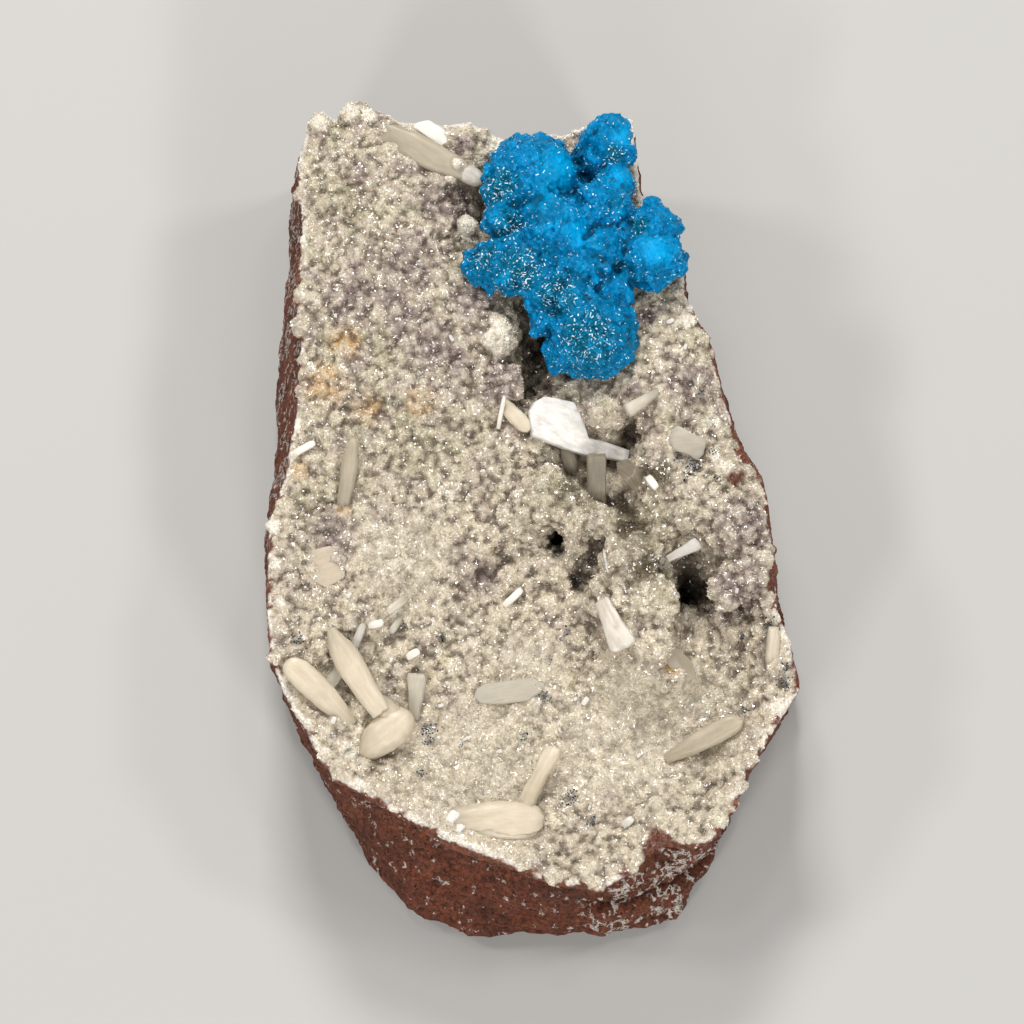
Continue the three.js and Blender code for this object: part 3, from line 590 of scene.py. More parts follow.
def druse_material(name, crystals):
    """Zeolite druse: colourless to cream crystals of a few tenths of a millimetre on a chalky skin.
    Their flat glassy faces give the glints, a few crystals painted near white add painted glints, and light
    entering them gives the soft cream body."""
    material, tree, shader = new_material(name)
    place = scaled_place(tree)
    tint = add_node(tree, "ShaderNodeAttribute", attribute_name="tint")
    grain = add_node(tree, "ShaderNodeTexNoise", {"Vector": place, "Scale": 2.2, "Detail": 4.0, "Roughness": 0.65})
    shade = add_node(tree, "ShaderNodeMapRange", {"Value": grain, 1: 0.3, 2: 0.7, 3: 0.84, 4: 1.14})
    colour = add_node(tree, "ShaderNodeVectorMath", {0: tint, "Scale": shade}, operation="SCALE")
    if crystals:
        # Every crystal has its own brightness, a few are painted near white as glints, and in the specks the
        # darkest are blue or black.
        glint = add_node(tree, "ShaderNodeAttribute", attribute_name="glint").outputs["Fac"]
        speck = add_node(tree, "ShaderNodeAttribute", attribute_name="speck").outputs["Fac"]
        shine = add_node(tree, "ShaderNodeMapRange", {"Value": glint, 1: 0.0, 2: 0.9, 3: 0.7, 4: 1.3})
        colour = add_node(tree, "ShaderNodeVectorMath", {0: colour, "Scale": shine}, operation="SCALE")
        bright = add_node(tree, "ShaderNodeMath", {0: glint, 1: 0.93}, operation="GREATER_THAN")
        colour = add_node(tree, "ShaderNodeMix", {0: bright, 6: colour, 7: linear("#fbf8f2")}, data_type="RGBA")
        few = add_node(tree, "ShaderNodeMath", {0: glint, 1: 3.4}, operation="MULTIPLY")
        blue = add_node(tree, "ShaderNodeMath", {0: few, 1: speck}, operation="LESS_THAN")
        black_or_blue = {0: blue, 6: linear("#10161a"), 7: linear("#174f69")}
        dark = add_node(tree, "ShaderNodeMix", black_or_blue, data_type="RGBA").outputs[2]
        chosen = add_node(tree, "ShaderNodeMath", {0: glint, 1: speck}, operation="LESS_THAN")
        colour = add_node(tree, "ShaderNodeMix", {0: chosen, 6: colour.outputs[2], 7: dark}, data_type="RGBA")
        shader.inputs["Roughness"].default_value = 0.16
        shader.inputs["Coat Weight"].default_value = 0.7
        shader.inputs["IOR"].default_value = 1.6
    else:
        # The skin is dull basalt where its edge lies below the rim.
        stone = add_node(tree, "ShaderNodeAttribute", attribute_name="stone").outputs["Fac"]
        # The skin is painted a little darker than the crystals: painted shade in the gaps between them
        chalky = add_node(tree, "ShaderNodeVectorMath", {0: colour, "Scale": 0.92}, operation="SCALE")
        rock = basalt_colour(tree, place)[0]
        colour = add_node(tree, "ShaderNodeMix", {0: stone, 6: chalky, 7: rock}, data_type="RGBA")
        tree.links.new(facet_normals(tree, place, 5.5, 1.0), shader.inputs["Normal"])
        roughness = add_node(tree, "ShaderNodeMapRange", {"Value": stone, 3: 0.3, 4: 0.8})
        tree.links.new(roughness.outputs[0], shader.inputs["Roughness"])
        coat = add_node(tree, "ShaderNodeMapRange", {"Value": stone, 3: 0.4, 4: 0.0})
        tree.links.new(coat.outputs[0], shader.inputs["Coat Weight"])
        shader.inputs["IOR"].default_value = 1.5
    tree.links.new(colour.outputs[2], shader.inputs["Base Color"])
    shader.inputs["Coat Roughness"].default_value = 0.06
    return material


def cavansite_material(name, blades):
    """Cavansite: a vivid azure silicate in fine radiating blades. Light spreads a long way inside it,
    so its balls glow, and the blades' vitreous faces flash white."""
    material, tree, shader = new_material(name)
    tint = add_node(tree, "ShaderNodeAttribute", attribute_name="tint")
    if blades:
        glint = add_node(tree, "ShaderNodeAttribute", attribute_name="glint").outputs["Fac"]
        shine = add_node(tree, "ShaderNodeMapRange", {"Value": glint, 3: 0.7, 4: 1.3})
    else:
        place = scaled_place(tree)
        calm = add_node(tree, "ShaderNodeAttribute", attribute_name="calm").outputs["Fac"]
        cells = add_node(tree, "ShaderNodeTexVoronoi", {"Vector": place, "Scale": 3.2}, feature="F1")
        lively = add_node(tree, "ShaderNodeMapRange", {"Value": calm, 3: 0.8, 4: 0.2})
        level = add_node(tree, "ShaderNodeMath", {0: cells.outputs["Color"], 1: lively}, operation="MULTIPLY")
        shine = add_node(tree, "ShaderNodeMapRange", {"Value": level, 3: 0.7, 4: 1.45})
        tilt = add_node(tree, "ShaderNodeMapRange", {"Value": calm, 3: 0.9, 4: 0.25})
        tree.links.new(facet_normals(tree, place, 3.2, tilt), shader.inputs["Normal"])
    colour = add_node(tree, "ShaderNodeVectorMath", {0: tint, "Scale": shine}, operation="SCALE")
    tree.links.new(colour.outputs[0], shader.inputs["Base Color"])
    shader.inputs["Roughness"].default_value = 0.14 if blades else 0.35
    shader.inputs["IOR"].default_value = 1.54
    shader.inputs["Specular IOR Level"].default_value = 0.4 if blades else 0.08
    shader.inputs["Subsurface Weight"].default_value = 0.35
    shader.inputs["Subsurface Radius"].default_value = (0.1, 0.75, 1.0)
    shader.inputs["Subsurface Scale"].default_value = 0.9 * MM
    return material


def painted_glint_material(name):
    """The flat faces of the larger cavansite blades, painted pale: painted glints that stand in for the light they
    mirror.
    """
    material, tree, shader = new_material(name)
    glint = add_node(tree, "ShaderNodeAttribute", attribute_name="glint").outputs["Fac"]
    pale = add_node(tree, "ShaderNodeMapRange", {"Value": glint, 1: 0.2, 2: 0.9})
    colour = add_node(tree, "ShaderNodeMix", {0: pale, 6: linear("#2aa6dc"), 7: linear("#eefcff")}, data_type="RGBA")
    tree.links.new(colour.outputs[2], shader.inputs["Base Color"])
    shader.inputs["Roughness"].default_value = 0.25
    shader.inputs["IOR"].default_value = 1.54
    return material


def basalt_colour(tree, place):
    """Weathered basalt's colour and the height of its grain: red-brown from oxidised iron, full of dark
    pits where gas bubbles broke open, with chalky white zeolite in patches, scratches and veins."""
    drawn_out = add_node(tree, "ShaderNodeMapping", {"Vector": place, "Scale": (1.0, 1.0, 0.5)}).outputs[0]
    noises = {}
    for label, scale, detail, roughness in (
        ("grain", 2.0, 8.0, 0.8),
        ("rust", 1.3, 6.0, 0.75),
        ("blotches", 0.95, 5.0, 0.62),
        ("crooked", 0.17, 6.0, 0.62),
    ):
        sizes = {"Vector": drawn_out, "Scale": scale, "Detail": detail, "Roughness": roughness}
        noises[label] = add_node(tree, "ShaderNodeTexNoise", sizes).outputs[0]
    grain, rust = noises["grain"], noises["rust"]

    tint = add_node(tree, "ShaderNodeAttribute", attribute_name="tint")
    shade = add_node(tree, "ShaderNodeMapRange", {"Value": grain, 1: 0.4, 2: 0.61, 3: 0.25, 4: 1.8})
    colour = add_node(tree, "ShaderNodeVectorMath", {0: tint, "Scale": shade}, operation="SCALE")
    rusty = add_node(tree, "ShaderNodeMapRange", {"Value": rust, 1: 0.52, 2: 0.62, 4: 0.6})
    colour = add_node(tree, "ShaderNodeMix", {0: rusty, 6: colour, 7: linear("#8c4c30")}, data_type="RGBA").outputs[2]
    pits = add_node(tree, "ShaderNodeTexVoronoi", {"Vector": drawn_out, "Scale": 1.7}, feature="F1")
    reach = add_node(tree, "ShaderNodeMapRange", {"Value": rust, 1: 0.42, 2: 0.56, 3: 0.24, 4: 0.03})
    pit = add_node(tree, "ShaderNodeMath", {0: pits.outputs["Distance"], 1: reach}, operation="LESS_THAN")
    colour = add_node(tree, "ShaderNodeMix", {0: pit, 6: colour, 7: linear("#241410")}, data_type="RGBA").outputs[2]

    # Patches of chalk, broken up by the grain, and more of them where the rock is smeared with it
    smear = add_node(tree, "ShaderNodeAttribute", attribute_name="smear").outputs["Fac"]
    chalk = add_node(tree, "ShaderNodeMath", {0: noises["blotches"], 1: smear}, operation="ADD")
    chalk = add_node(tree, "ShaderNodeMapRange", {"Value": chalk, 1: 0.615, 2: 0.645})
    rough = add_node(tree, "ShaderNodeMapRange", {"Value": grain, 1: 0.42, 2: 0.54})
    chalk = add_node(tree, "ShaderNodeMath", {0: chalk, 1: rough}, operation="MULTIPLY")
    # Slanting scratches
    slant = {"Vector": drawn_out, "Rotation": (0.0, 0.0, 0.6), "Scale": (2.6, 0.8, 1.6)}
    slant = add_node(tree, "ShaderNodeMapping", slant)
    scratch = add_node(tree, "ShaderNodeTexNoise", {"Vector": slant, "Scale": 1.0, "Detail": 5.0, "Roughness": 0.75})
    scratch = add_node(tree, "ShaderNodeMath", {0: scratch, 1: smear}, operation="ADD")
    scratch = add_node(tree, "ShaderNodeMapRange", {"Value": scratch, 1: 0.74, 2: 0.8, 4: 0.8})
    # Crooked veins, only where the rock is smeared
    away = add_node(tree, "ShaderNodeMath", {0: noises["crooked"], 1: 0.5}, operation="SUBTRACT")
    away = add_node(tree, "ShaderNodeMath", {0: away, 1: 0.0}, operation="ABSOLUTE")
    vein = add_node(tree, "ShaderNodeMapRange", {"Value": away, 1: 0.008, 2: 0.017, 3: 1.0, 4: 0.0})
    smeared = add_node(tree, "ShaderNodeMapRange", {"Value": smear, 1: 0.01, 2: 0.04})
    vein = add_node(tree, "ShaderNodeMath", {0: vein, 1: smeared}, operation="MULTIPLY")
    rough = add_node(tree, "ShaderNodeMapRange", {"Value": grain, 1: 0.4, 2: 0.5})
    vein = add_node(tree, "ShaderNodeMath", {0: vein, 1: rough}, operation="MULTIPLY")
    lines = add_node(tree, "ShaderNodeMath", {0: scratch, 1: vein}, operation="MAXIMUM")
    white = add_node(tree, "ShaderNodeMath", {0: chalk, 1: lines}, operation="MAXIMUM")
    colour = add_node(tree, "ShaderNodeMix", {0: white, 6: colour, 7: linear("#f6efe6")}, data_type="RGBA")
    return colour.outputs[2], grain


def basalt_material(name):
    """Weathered basalt: rough and dull, and painted near black as shade where no light gets in."""
    material, tree, shader = new_material(name)
    colour, grain = basalt_colour(tree, scaled_place(tree))
    light = add_node(tree, "ShaderNodeAttribute", attribute_name="light").outputs["Fac"]
    colour = add_node(tree, "ShaderNodeVectorMath", {0: colour, "Scale": light}, operation="SCALE")
    tree.links.new(colour.outputs[0], shader.inputs["Base Color"])
    relief = add_node(tree, "ShaderNodeBump", {"Strength": 1.0, "Distance": 0.8 * MM, "Height": grain})
    tree.links.new(relief.outputs[0], shader.inputs["Normal"])
    shader.inputs["Roughness"].default_value = 0.8
    shader.inputs["Specular IOR Level"].default_value = 0.35
    return material


def stilbite_material(name, body, root, clarity, stripe_depth, mottle):
    """Stilbite: milky to glassy blades, duller where they grow out of the crust, and faintly striped
    along their length where thinner blades are grown together."""
    material, tree, shader = new_material(name)
    length = add_node(tree, "ShaderNodeUVMap", uv_map="length")
    lines = add_node(tree, "ShaderNodeMapping", {"Vector": length, "Scale": (5.0, 0.35, 1.0)})
    stripes = add_node(tree, "ShaderNodeTexNoise", {"Vector": lines, "Scale": 1.0, "Detail": 4.0})
    streaks = add_node(tree, "ShaderNodeMapping", {"Vector": length, "Scale": (1.2, 0.5, 1.0)})
    milk = add_node(tree, "ShaderNodeTexNoise", {"Vector": streaks, "Scale": 1.0, "Detail": 5.0, "Roughness": 0.7})
    along = add_node(tree, "ShaderNodeAttribute", attribute_name="along").outputs["Fac"]
    clear_of_root = add_node(tree, "ShaderNodeMapRange", {"Value": along, 1: 0.0, 2: 0.45})
    ends = {0: clear_of_root, 6: linear(root), 7: linear(body)}
    colour = add_node(tree, "ShaderNodeMix", ends, data_type="RGBA").outputs[2]
    for noise_value, low, high, least, most in (
        (stripes, 0.32, 0.68, 1 - stripe_depth, 1.04),
        (milk, 0.38, 0.62, 1 - mottle, 1 + 0.4 * mottle),
    ):
        share = add_node(tree, "ShaderNodeMapRange", {"Value": noise_value, 1: low, 2: high, 3: least, 4: most})
        colour = add_node(tree, "ShaderNodeVectorMath", {0: colour, "Scale": share}, operation="SCALE")
    tree.links.new(colour.outputs[0], shader.inputs["Base Color"])
    bumps = {"Strength": 7 * stripe_depth, "Distance": 0.05 * MM, "Height": stripes}
    tree.links.new(add_node(tree, "ShaderNodeBump", bumps).outputs[0], shader.inputs["Normal"])
    shader.inputs["Roughness"].default_value = 0.42
    shader.inputs["IOR"].default_value = 1.5
    shader.inputs["Coat Weight"].default_value = 0.05
    shader.inputs["Coat Roughness"].default_value = 0.2
    shader.inputs["Subsurface Weight"].default_value = 0.8
    shader.inputs["Subsurface Radius"].default_value = (1.0, 0.94, 0.82)
    shader.inputs["Subsurface Scale"].default_value = 1.3 * MM
    shader.inputs["Transmission Weight"].default_value = clarity
    return material


druse_skin = druse_material("chalky zeolite skin", False)
druse_grains = druse_material("druse of glassy zeolite crystals", True)
azure_body = cavansite_material("cavansite, fine-grained", False)
azure_blades = cavansite_material("cavansite blades", True)
painted_glint_faces = painted_glint_material("cavansite blade faces, painted glints")
brown_basalt = basalt_material("weathered red-brown basalt")
# The stilbite's finishes, as the tables name them: the colour of body and root, how clear it is, how much
# its stripes darken it, and how mottled it is
FINISHES = {
    finish: stilbite_material(*row)
    for finish, row in {
        "milky": ("milky stilbite", "#e9ddc8", "#c9bda6", 0.25, 0.04, 0.09),
        "beige": ("dull beige stilbite", "#cabfab", "#b6aa96", 0.3, 0.04, 0.1),
        "matt": ("matt stilbite", "#cfc1ae", "#c4b6a3", 0.1, 0.03, 0.08),
        "glassy": ("glassy stilbite", "#e8e1d2", "#c9c0ae", 0.5, 0.08, 0.08),
        # A darker copy of the clear stilbite for those in the hollows: painted shade
        "shaded": ("clear stilbite in the hollows, painted darker as shade", "#b0a592", "#8b806d", 0.45, 0.26, 0.08),
        "clear": ("clear stilbite", "#f6f0e8", "#e0d7ca", 0.45, 0.16, 0.06),
        "white": ("white stilbite", "#f2ebe0", "#ddd4c5", 0.0, 0.08, 0.08),
        "silky": ("silky striped stilbite", "#ede5da", "#e2d8cc", 0.2, 0.06, 0.16),
        "pearl": ("pearly white stilbite", "#efece8", "#dfdad3", 0.1, 0.05, 0.22),
    }.items()
}


def set_in_place(piece, nodes, finish):
    """The finished piece in metres, standing for its CAD nodes."""
    piece.data.transform(Matrix.Scale(MM, 4))
    piece.data.materials.clear()
    piece.data.materials.append(finish)
    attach(piece, "root")
    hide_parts(*nodes)


# ---- Basalt


def crack_height(where):
    """The height over the crack that runs across the lower right of the broken front, with a ledge of
    rock under it, and how much each place belongs to that front."""
    front = np.clip((where[:, 0] - 5.5) / 2, 0, 1) * np.clip((-29 - where[:, 1]) / 2, 0, 1)
    return where[:, 2] - (11.7 - 0.53 * (where[:, 0] - 8)), front


def build_basalt():
    piece = merged_copy("basalt_matrix", "basalt_block")
    remesh(piece, 0.42)
    settle(piece)
    where, facing = places(piece.data), facings(piece.data)
    top = np.clip((facing[:, 2] - 0.45) / 0.3, 0, 1) * (where[:, 2] > 6)
    back = np.clip((0.8 - where[:, 2]) / 0.8, 0, 1)
    put(piece.data, "weather", (1 - top) * (1 - 0.6 * back))
    where[:, 2] += 0.4 * top
    over, front = crack_height(where)
    ledge = 0.7 * np.clip(-over / 0.6, 0, 1) * (where[:, 2] > 2)
    where += facing * (front * (ledge - 1.1 * np.exp(-((over / 0.5) ** 2))))[:, None]
    piece.data.vertices.foreach_set("co", where.ravel())
    run_tree(piece, roughening, coarse=3.4, coarse_depth=1.5, fine=0.8, fine_depth=0.75)
    settle(piece)
    where = places(piece.data)
    where[:, 2] = np.maximum(where[:, 2], 0)
    piece.data.vertices.foreach_set("co", where.ravel())
    thin_out(piece, BASALT_TRIANGLES)
    where, facing = places(piece.data), facings(piece.data)
    tint = np.tile(linear("#7e452f"), (len(where), 1))
    tint = blend(tint, "#573022", 1.6 * (clouds(where, 5, 1) - 0.42))
    tint = blend(tint, "#91553a", 1.8 * (clouds(where, 3, 2) - 0.5))
    # Painted shade in the hollows
    tint = blend(tint, "#2a1610", 0.8 * np.clip((hollowness(piece.data, 4) - 0.06) / 0.2, 0, 1))
    over, front = crack_height(where)
    # Painted shade in the crack
    tint = blend(tint, "#140b08", 0.9 * front * np.exp(-(((over - 0.1) / 0.35) ** 2)))
    caves = [(x, y, 2 * radius) for x, y, radius in CAVE_PATCHES]
    # Painted shade: in the caves the basalt is darkened to near black
    put(piece.data, "light", 1 - 0.97 * (where[:, 2] > 8) * (facing[:, 2] > -0.5) * patches(where, caves, 0.1))
    put(piece.data, "tint", tint)
    corner = np.clip((where[:, 0] - 4) / 4, 0, 1) * np.clip((-where[:, 1] - 30) / 6, 0, 1)
    left = np.clip((-22 - where[:, 0]) / 3, 0, 1) * np.clip((where[:, 1] + 8) / 8, 0, 1)
    put(piece.data, "smear", 0.06 * corner + 0.03 * left)
    set_in_place(piece, ["basalt_matrix"], brown_basalt)


# ---- Druse crust


def cave_shade(where, sunk):
    """How much each place belongs to the walls of the caves, which are painted dark as shade, from 0 to 1."""
    return patches(where, CAVE_PATCHES, 0.7) * np.clip((sunk - 0.2) / 2.0, 0, 1)


def crust_tint(where, hollow, sunk, edge, below):
    """The crust's colours: clouded cream and grey, greener and redder in the upper part, then the patches,
    painted shade in the gaps between the lumps, their pale tops, painted shade in sunken places and in the
    caves, the chalky rim and the basalt below it."""
    tint = np.tile(linear("#cabda9"), (len(where), 1))
    lump = clouds(where, 1.5, 4)
    tint = blend(tint, "#dbd0b7", 2.0 * (clouds(where, 2.1, 5) - 0.45))
    tint = blend(tint, "#ac9d92", 2.0 * (clouds(where, 2.6, 6) - 0.48))
    upper = np.clip((where[:, 1] - 2) / 8, 0, 1)
    tint = blend(tint, "#8a7675", 3.0 * upper * (clouds(where, 1.9, 17) - 0.5))
    tint = blend(tint, "#aca88a", 2.6 * upper * (clouds(where, 2.4, 18) - 0.52))
    tint = blend(tint, "#aba387", 0.8 * patches(where, OLIVE_PATCHES, 0.9) * 2 * lump)
    # The tongue's olive: its own colour, darkened further as painted shade
    tint = blend(tint, "#5d523b", 0.9 * patches(where, TONGUE_PATCHES, 0.8))
    tint = blend(tint, "#8f7e7a", 0.95 * patches(where, MAUVE_PATCHES, 0.9) * 2 * lump)
    tint = blend(tint, "#d9cfbb", 0.7 * patches(where, CREAM_PATCHES, 0.8))
    tint = blend(tint, "#cfa973", 0.8 * patches(where, OCHRE_PATCHES, 0.9) * 2 * lump)
    tint = blend(tint, "#ddd4ac", 0.4 * patches(where, YELLOW_PATCHES, 0.8))
    tint = blend(tint, "#f3ecdc", 0.95 * patches(where, CHALK_PATCHES + NODULES, 0.4))
    tint = blend(tint, "#55585a", 0.7 * patches(where, SPECK_PATCHES, 0.9))
    # Painted shade in the gaps between the lumps
    painted_gap_shade = np.clip((hollow - 0.03) / 0.09, 0, 1) * (1 - 0.45 * patches(where, CREAM_PATCHES, 0.5))
    tint = blend(tint, "#4c3e32", 0.75 * painted_gap_shade * (1 - edge))
    tint = blend(tint, "#e8dfcd", 0.45 * np.clip((-hollow - 0.03) / 0.1, 0, 1))
    # Painted shade in sunken places
    tint = blend(tint, "#54453a", 0.28 * np.clip((sunk - 1.8) / 3.5, 0, 1))
    # Painted shade on the walls of the caves
    tint = blend(tint, "#1d1612", 0.9 * cave_shade(where, sunk))
    tint = blend(tint, "#f6eee2", edge)
    broken = clouds(where, 0.8, 15)
    tint = blend(tint, "#f4ecdf", 3 * (patches(where, RIM_CHALK_PATCHES, 1.0) - 0.7 * broken))
    tint = blend(tint, "#70402f", 5 * (patches(where, RIM_BROWN_PATCHES, 1.0) - 0.6 * broken) * (edge > 0))
    tint = blend(tint, "#6a3c2c", patches(where, BARE_PATCHES, 0.3))
    return blend(tint, "#6e402d", below)


def rim_band(crust):
    """A tree of the crust's outer side faces: those with no crust under a point just outside them."""
    mesh = crust.data
    whole = skin(mesh)
    sides = []
    for face in mesh.polygons:
        flat = Vector((face.normal.x, face.normal.y, 0))
        deep = any(math.hypot(face.center.x - x, face.center.y - y) < r + 0.8 for x, y, r in CAVE_PATCHES)
        if abs(face.normal.z) < 0.55 and flat.length > 0.1 and not deep:
            out = face.center + flat.normalized() * 1.2
            if top_at(whole, out.x, out.y) is None:
                sides.append(face.vertices[:])
    return BVHTree.FromPolygons([v.co for v in mesh.vertices], sides)


def near(tree, where, reach):
    """1 at the tree's faces, falling to 0 at that distance from them."""
    share = np.zeros(len(where))
    for i, p in enumerate(where):
        distance = tree.find_nearest(Vector(p), reach)[3]
        if distance is not None:
            share[i] = 1 - distance / reach
    return share


def drops(mesh, where, facing, rim):
    """How far each vertex of the rim's sides lies below the face just inside it, in millimetres."""
    whole = skin(mesh)
    drop = np.zeros(len(where))
    for i in np.nonzero(rim)[0]:
        flat = Vector((facing[i, 0], facing[i, 1], 0))
        if flat.length > 0.3:
            inside = Vector(where[i]) - flat.normalized() * 0.9
            face = top_at(whole, inside.x, inside.y)
            drop[i] = face.z - where[i, 2] if face else 0
    return drop


def grow_lumps(piece, tree, coarsest, finest, lean, sizes):
    """Grows lumps of each size in turn, each on the last, and melts them into one skin."""
    for seed, (spacing, density, smallest, largest) in enumerate(sizes):
        run_tree(
            piece, tree, spacing=spacing, density=density, smallest=smallest, largest=largest, length=0.95,
            lean=lean, seed=5 + seed,
        )
        remesh(piece, finest if seed == len(sizes) - 1 else coarsest)
        settle(piece)
        yield piece.data


def build_crust():
    crust = merged_copy("druse_crust", "druse_lumps")
    remesh(crust, 0.55)
    settle(crust)
    crust.data.vertices.foreach_set("co", averaged(crust.data, 1).ravel())
    rim = rim_band(crust)
    taken = crystal_ground()
    add_balls(crust, NODULES)

    def ready(mesh):
        where, facing = places(mesh), facings(mesh)
        side = near(rim, where, 1.6) * (facing[:, 2] < 0.2)
        open_top = np.clip((facing[:, 2] + 0.4) / 0.3, 0, 1) * (side == 0) * (1 - near(rim, where, 0.35))
        put(mesh, "growth", open_top * (1 - patches(where, taken, 0.3)))
        smooth = 0.35 * patches(where, CREAM_PATCHES, 0.6) + 0.3 * patches(where, TONGUE_PATCHES, 0.6)
        put(mesh, "swell", 1.0 - smooth + 0.8 * (clouds(where, 3, 8) - 0.5))

    ready(crust.data)
    for mesh in grow_lumps(crust, lump_growth, 0.38, 0.22, 0.5, [(1.6, 1.1, 0.7, 1.3), (0.8, 3.6, 0.3, 0.6)]):
        ready(mesh)
    where = places(crust.data)
    put(crust.data, "weather", 1 + 0.8 * near(rim, where, 0.8))
    run_tree(crust, roughening, coarse=0.8, coarse_depth=0.2, fine=0.36, fine_depth=0.18)
    settle(crust)
    thin_out(crust, DRUSE_TRIANGLES)
    where, facing = places(crust.data), facings(crust.data)
    ragged = clouds(where, 1.3, 14)
    rim_share = near(rim, where, 0.5)
    drop = drops(crust.data, where, facing, rim_share)
    edge = np.clip(4 * rim_share * (ragged + 0.25) - 0.25, 0, 1)
    far_rim = np.clip((where[:, 1] - 38) / 4, 0, 1)
    below = np.clip((drop - 0.15 - 0.5 * ragged - 1.2 * far_rim) / 0.15, 0, 1)
    hollow, sunk = hollowness(crust.data, 4), sunkenness(where, 4)
    put(crust.data, "tint", crust_tint(where, hollow, sunk, edge, below))
    put(crust.data, "stone", below)
    put(crust.data, "smear", np.zeros(len(where)))
    open_face = np.clip((facing[:, 2] + 0.3) / 0.25, 0, 1)
    bare = np.maximum(cave_shade(where, sunk), patches(where, BARE_PATCHES, 0.3))
    put(crust.data, "growth", open_face * (1 - 0.8 * edge) * (1 - below) * (1 - 0.8 * bare))
    put(crust.data, "swell", 0.9 + 0.5 * (clouds(where, 3, 9) - 0.5) - 0.12 * patches(where, CREAM_PATCHES, 0.6))
    put(crust.data, "speck", patches(where, SPECK_PATCHES, 0.45))

    for part, low, high in (("lower", -60, -12), ("middle", -12, 15), ("upper", 15, 60)):
        field = new_piece("druse_crystals_" + part, crust.data.copy())
        inside = (where[:, 1] >= low) & (where[:, 1] < high)
        growth = np.empty(len(where))
        field.data.attributes["growth"].data.foreach_get("value", growth)
        put(field.data, "growth", growth * inside)
        run_tree(
            field, crystal_growth, spacing=0.2, density=42.0, smallest=0.08, largest=0.18, length=1.15,
            lean=0.9, seed=11, finish=druse_grains,
        )
        settle(field)
        set_in_place(field, ["druse_crust"], druse_grains)
    build_flakes(crust)
    set_in_place(crust, ["druse_crust"], druse_skin)


# ---- Cavansite


def build_cavansite():
    body = merged_copy("cavansite_cluster", "cavansite_body")
    add_balls(body, CLEFT_BALLS)
    remesh(body, 0.5)
    settle(body)
    where, facing = places(body.data), facings(body.data)
    where += 0.15 * facing
    where[:, 0] -= 1.5 * patches(where, PARED, 0.9)
    for x, y, radius, depth in CLEFT:
        where[:, 2] -= depth * patches(where, [(x, y, radius)], 0.9) * (facing[:, 2] > -0.2)
    body.data.vertices.foreach_set("co", where.ravel())
    cleft = [row[:3] for row in CLEFT]

    def ready(mesh):
        where, facing = places(mesh), facings(mesh)
        grown = np.clip((facing[:, 2] + 0.6) / 0.3, 0, 1) * (1 - patches(where, cleft, 0.5))
        put(mesh, "growth", grown * (1 - patches(where, PARED, 0.4)))
        put(mesh, "swell", 1.0 - 0.3 * patches(where, CALM_PATCHES, 0.6))

    ready(body.data)
    sizes = [(1.8, 0.6, 0.9, 1.5), (0.9, 1.6, 0.35, 0.6)]
    for mesh in grow_lumps(body, angular_growth, 0.28, 0.2, 0.8, sizes):
        ready(mesh)
    put(body.data, "weather", 1 - 0.7 * patches(places(body.data), CALM_PATCHES, 0.7))
    run_tree(body, roughening, coarse=1.3, coarse_depth=0.25, fine=0.45, fine_depth=0.24)
    settle(body)
    thin_out(body, CAVANSITE_TRIANGLES)
    where, facing = places(body.data), facings(body.data)
    calm = patches(where, CALM_PATCHES, 0.95)
    glitter = patches(where, GLITTER_PATCHES, 0.7) * (1 - 0.7 * calm)
    hollow = hollowness(body.data, 8)
    tint = np.tile(linear("#007ab2"), (len(where), 1))
    # Painted glow: the smooth patches are a brighter azure
    tint = blend(tint, "#00b2f6", 0.95 * calm)
    tint = blend(tint, "#01607c", 0.9 * glitter)
    tint = blend(tint, "#005f80", 1.5 * (clouds(where, 3.2, 12) - 0.42))
    tint = blend(tint, "#0aa0dc", 1.8 * (clouds(where, 1.3, 13) - 0.54))
    # Painted shade in the valleys between the balls, in the crevices and in the cleft
    tint = blend(tint, "#00527c", 0.75 * np.clip((hollowness(body.data, 40) - 0.05) / 0.35, 0, 1))
    tint = blend(tint, "#003c58", 0.85 * np.clip((hollow - 0.03) / 0.14, 0, 1))
    tint = blend(tint, "#033e5e", 0.8 * patches(where, cleft, 0.9))
    put(body.data, "tint", tint)
    put(body.data, "calm", calm)
    open_face = np.clip((facing[:, 2] + 0.7) / 0.3, 0, 1)
    flashes = new_piece("cavansite_flashes", body.data.copy())
    put(flashes.data, "growth", open_face * (0.24 + 0.76 * glitter) * (1 - 0.7 * calm))
    put(flashes.data, "swell", 0.85 + 0.3 * glitter)
    run_tree(
        flashes, flash_growth, spacing=0.2, density=9.0, smallest=0.12, largest=0.46, length=1.0, lean=0.5,
        seed=31, finish=painted_glint_faces,
    )
    settle(flashes)
    set_in_place(flashes, ["cavansite_cluster"], painted_glint_faces)
    put(body.data, "growth", open_face * (0.2 + 0.8 * glitter) * (1 - calm))
    put(body.data, "swell", 0.8 + 0.3 * glitter)
    blades = new_piece("cavansite_blades", body.data.copy())
    run_tree(
        blades, blade_growth, spacing=0.26, density=16.0, smallest=0.09, largest=0.2, length=1.8, lean=1.35,
        seed=23, finish=azure_blades,
    )
    settle(blades)
    set_in_place(blades, ["cavansite_cluster"], azure_blades)
    set_in_place(body, ["cavansite_cluster"], azure_body)


# ---- Stilbite

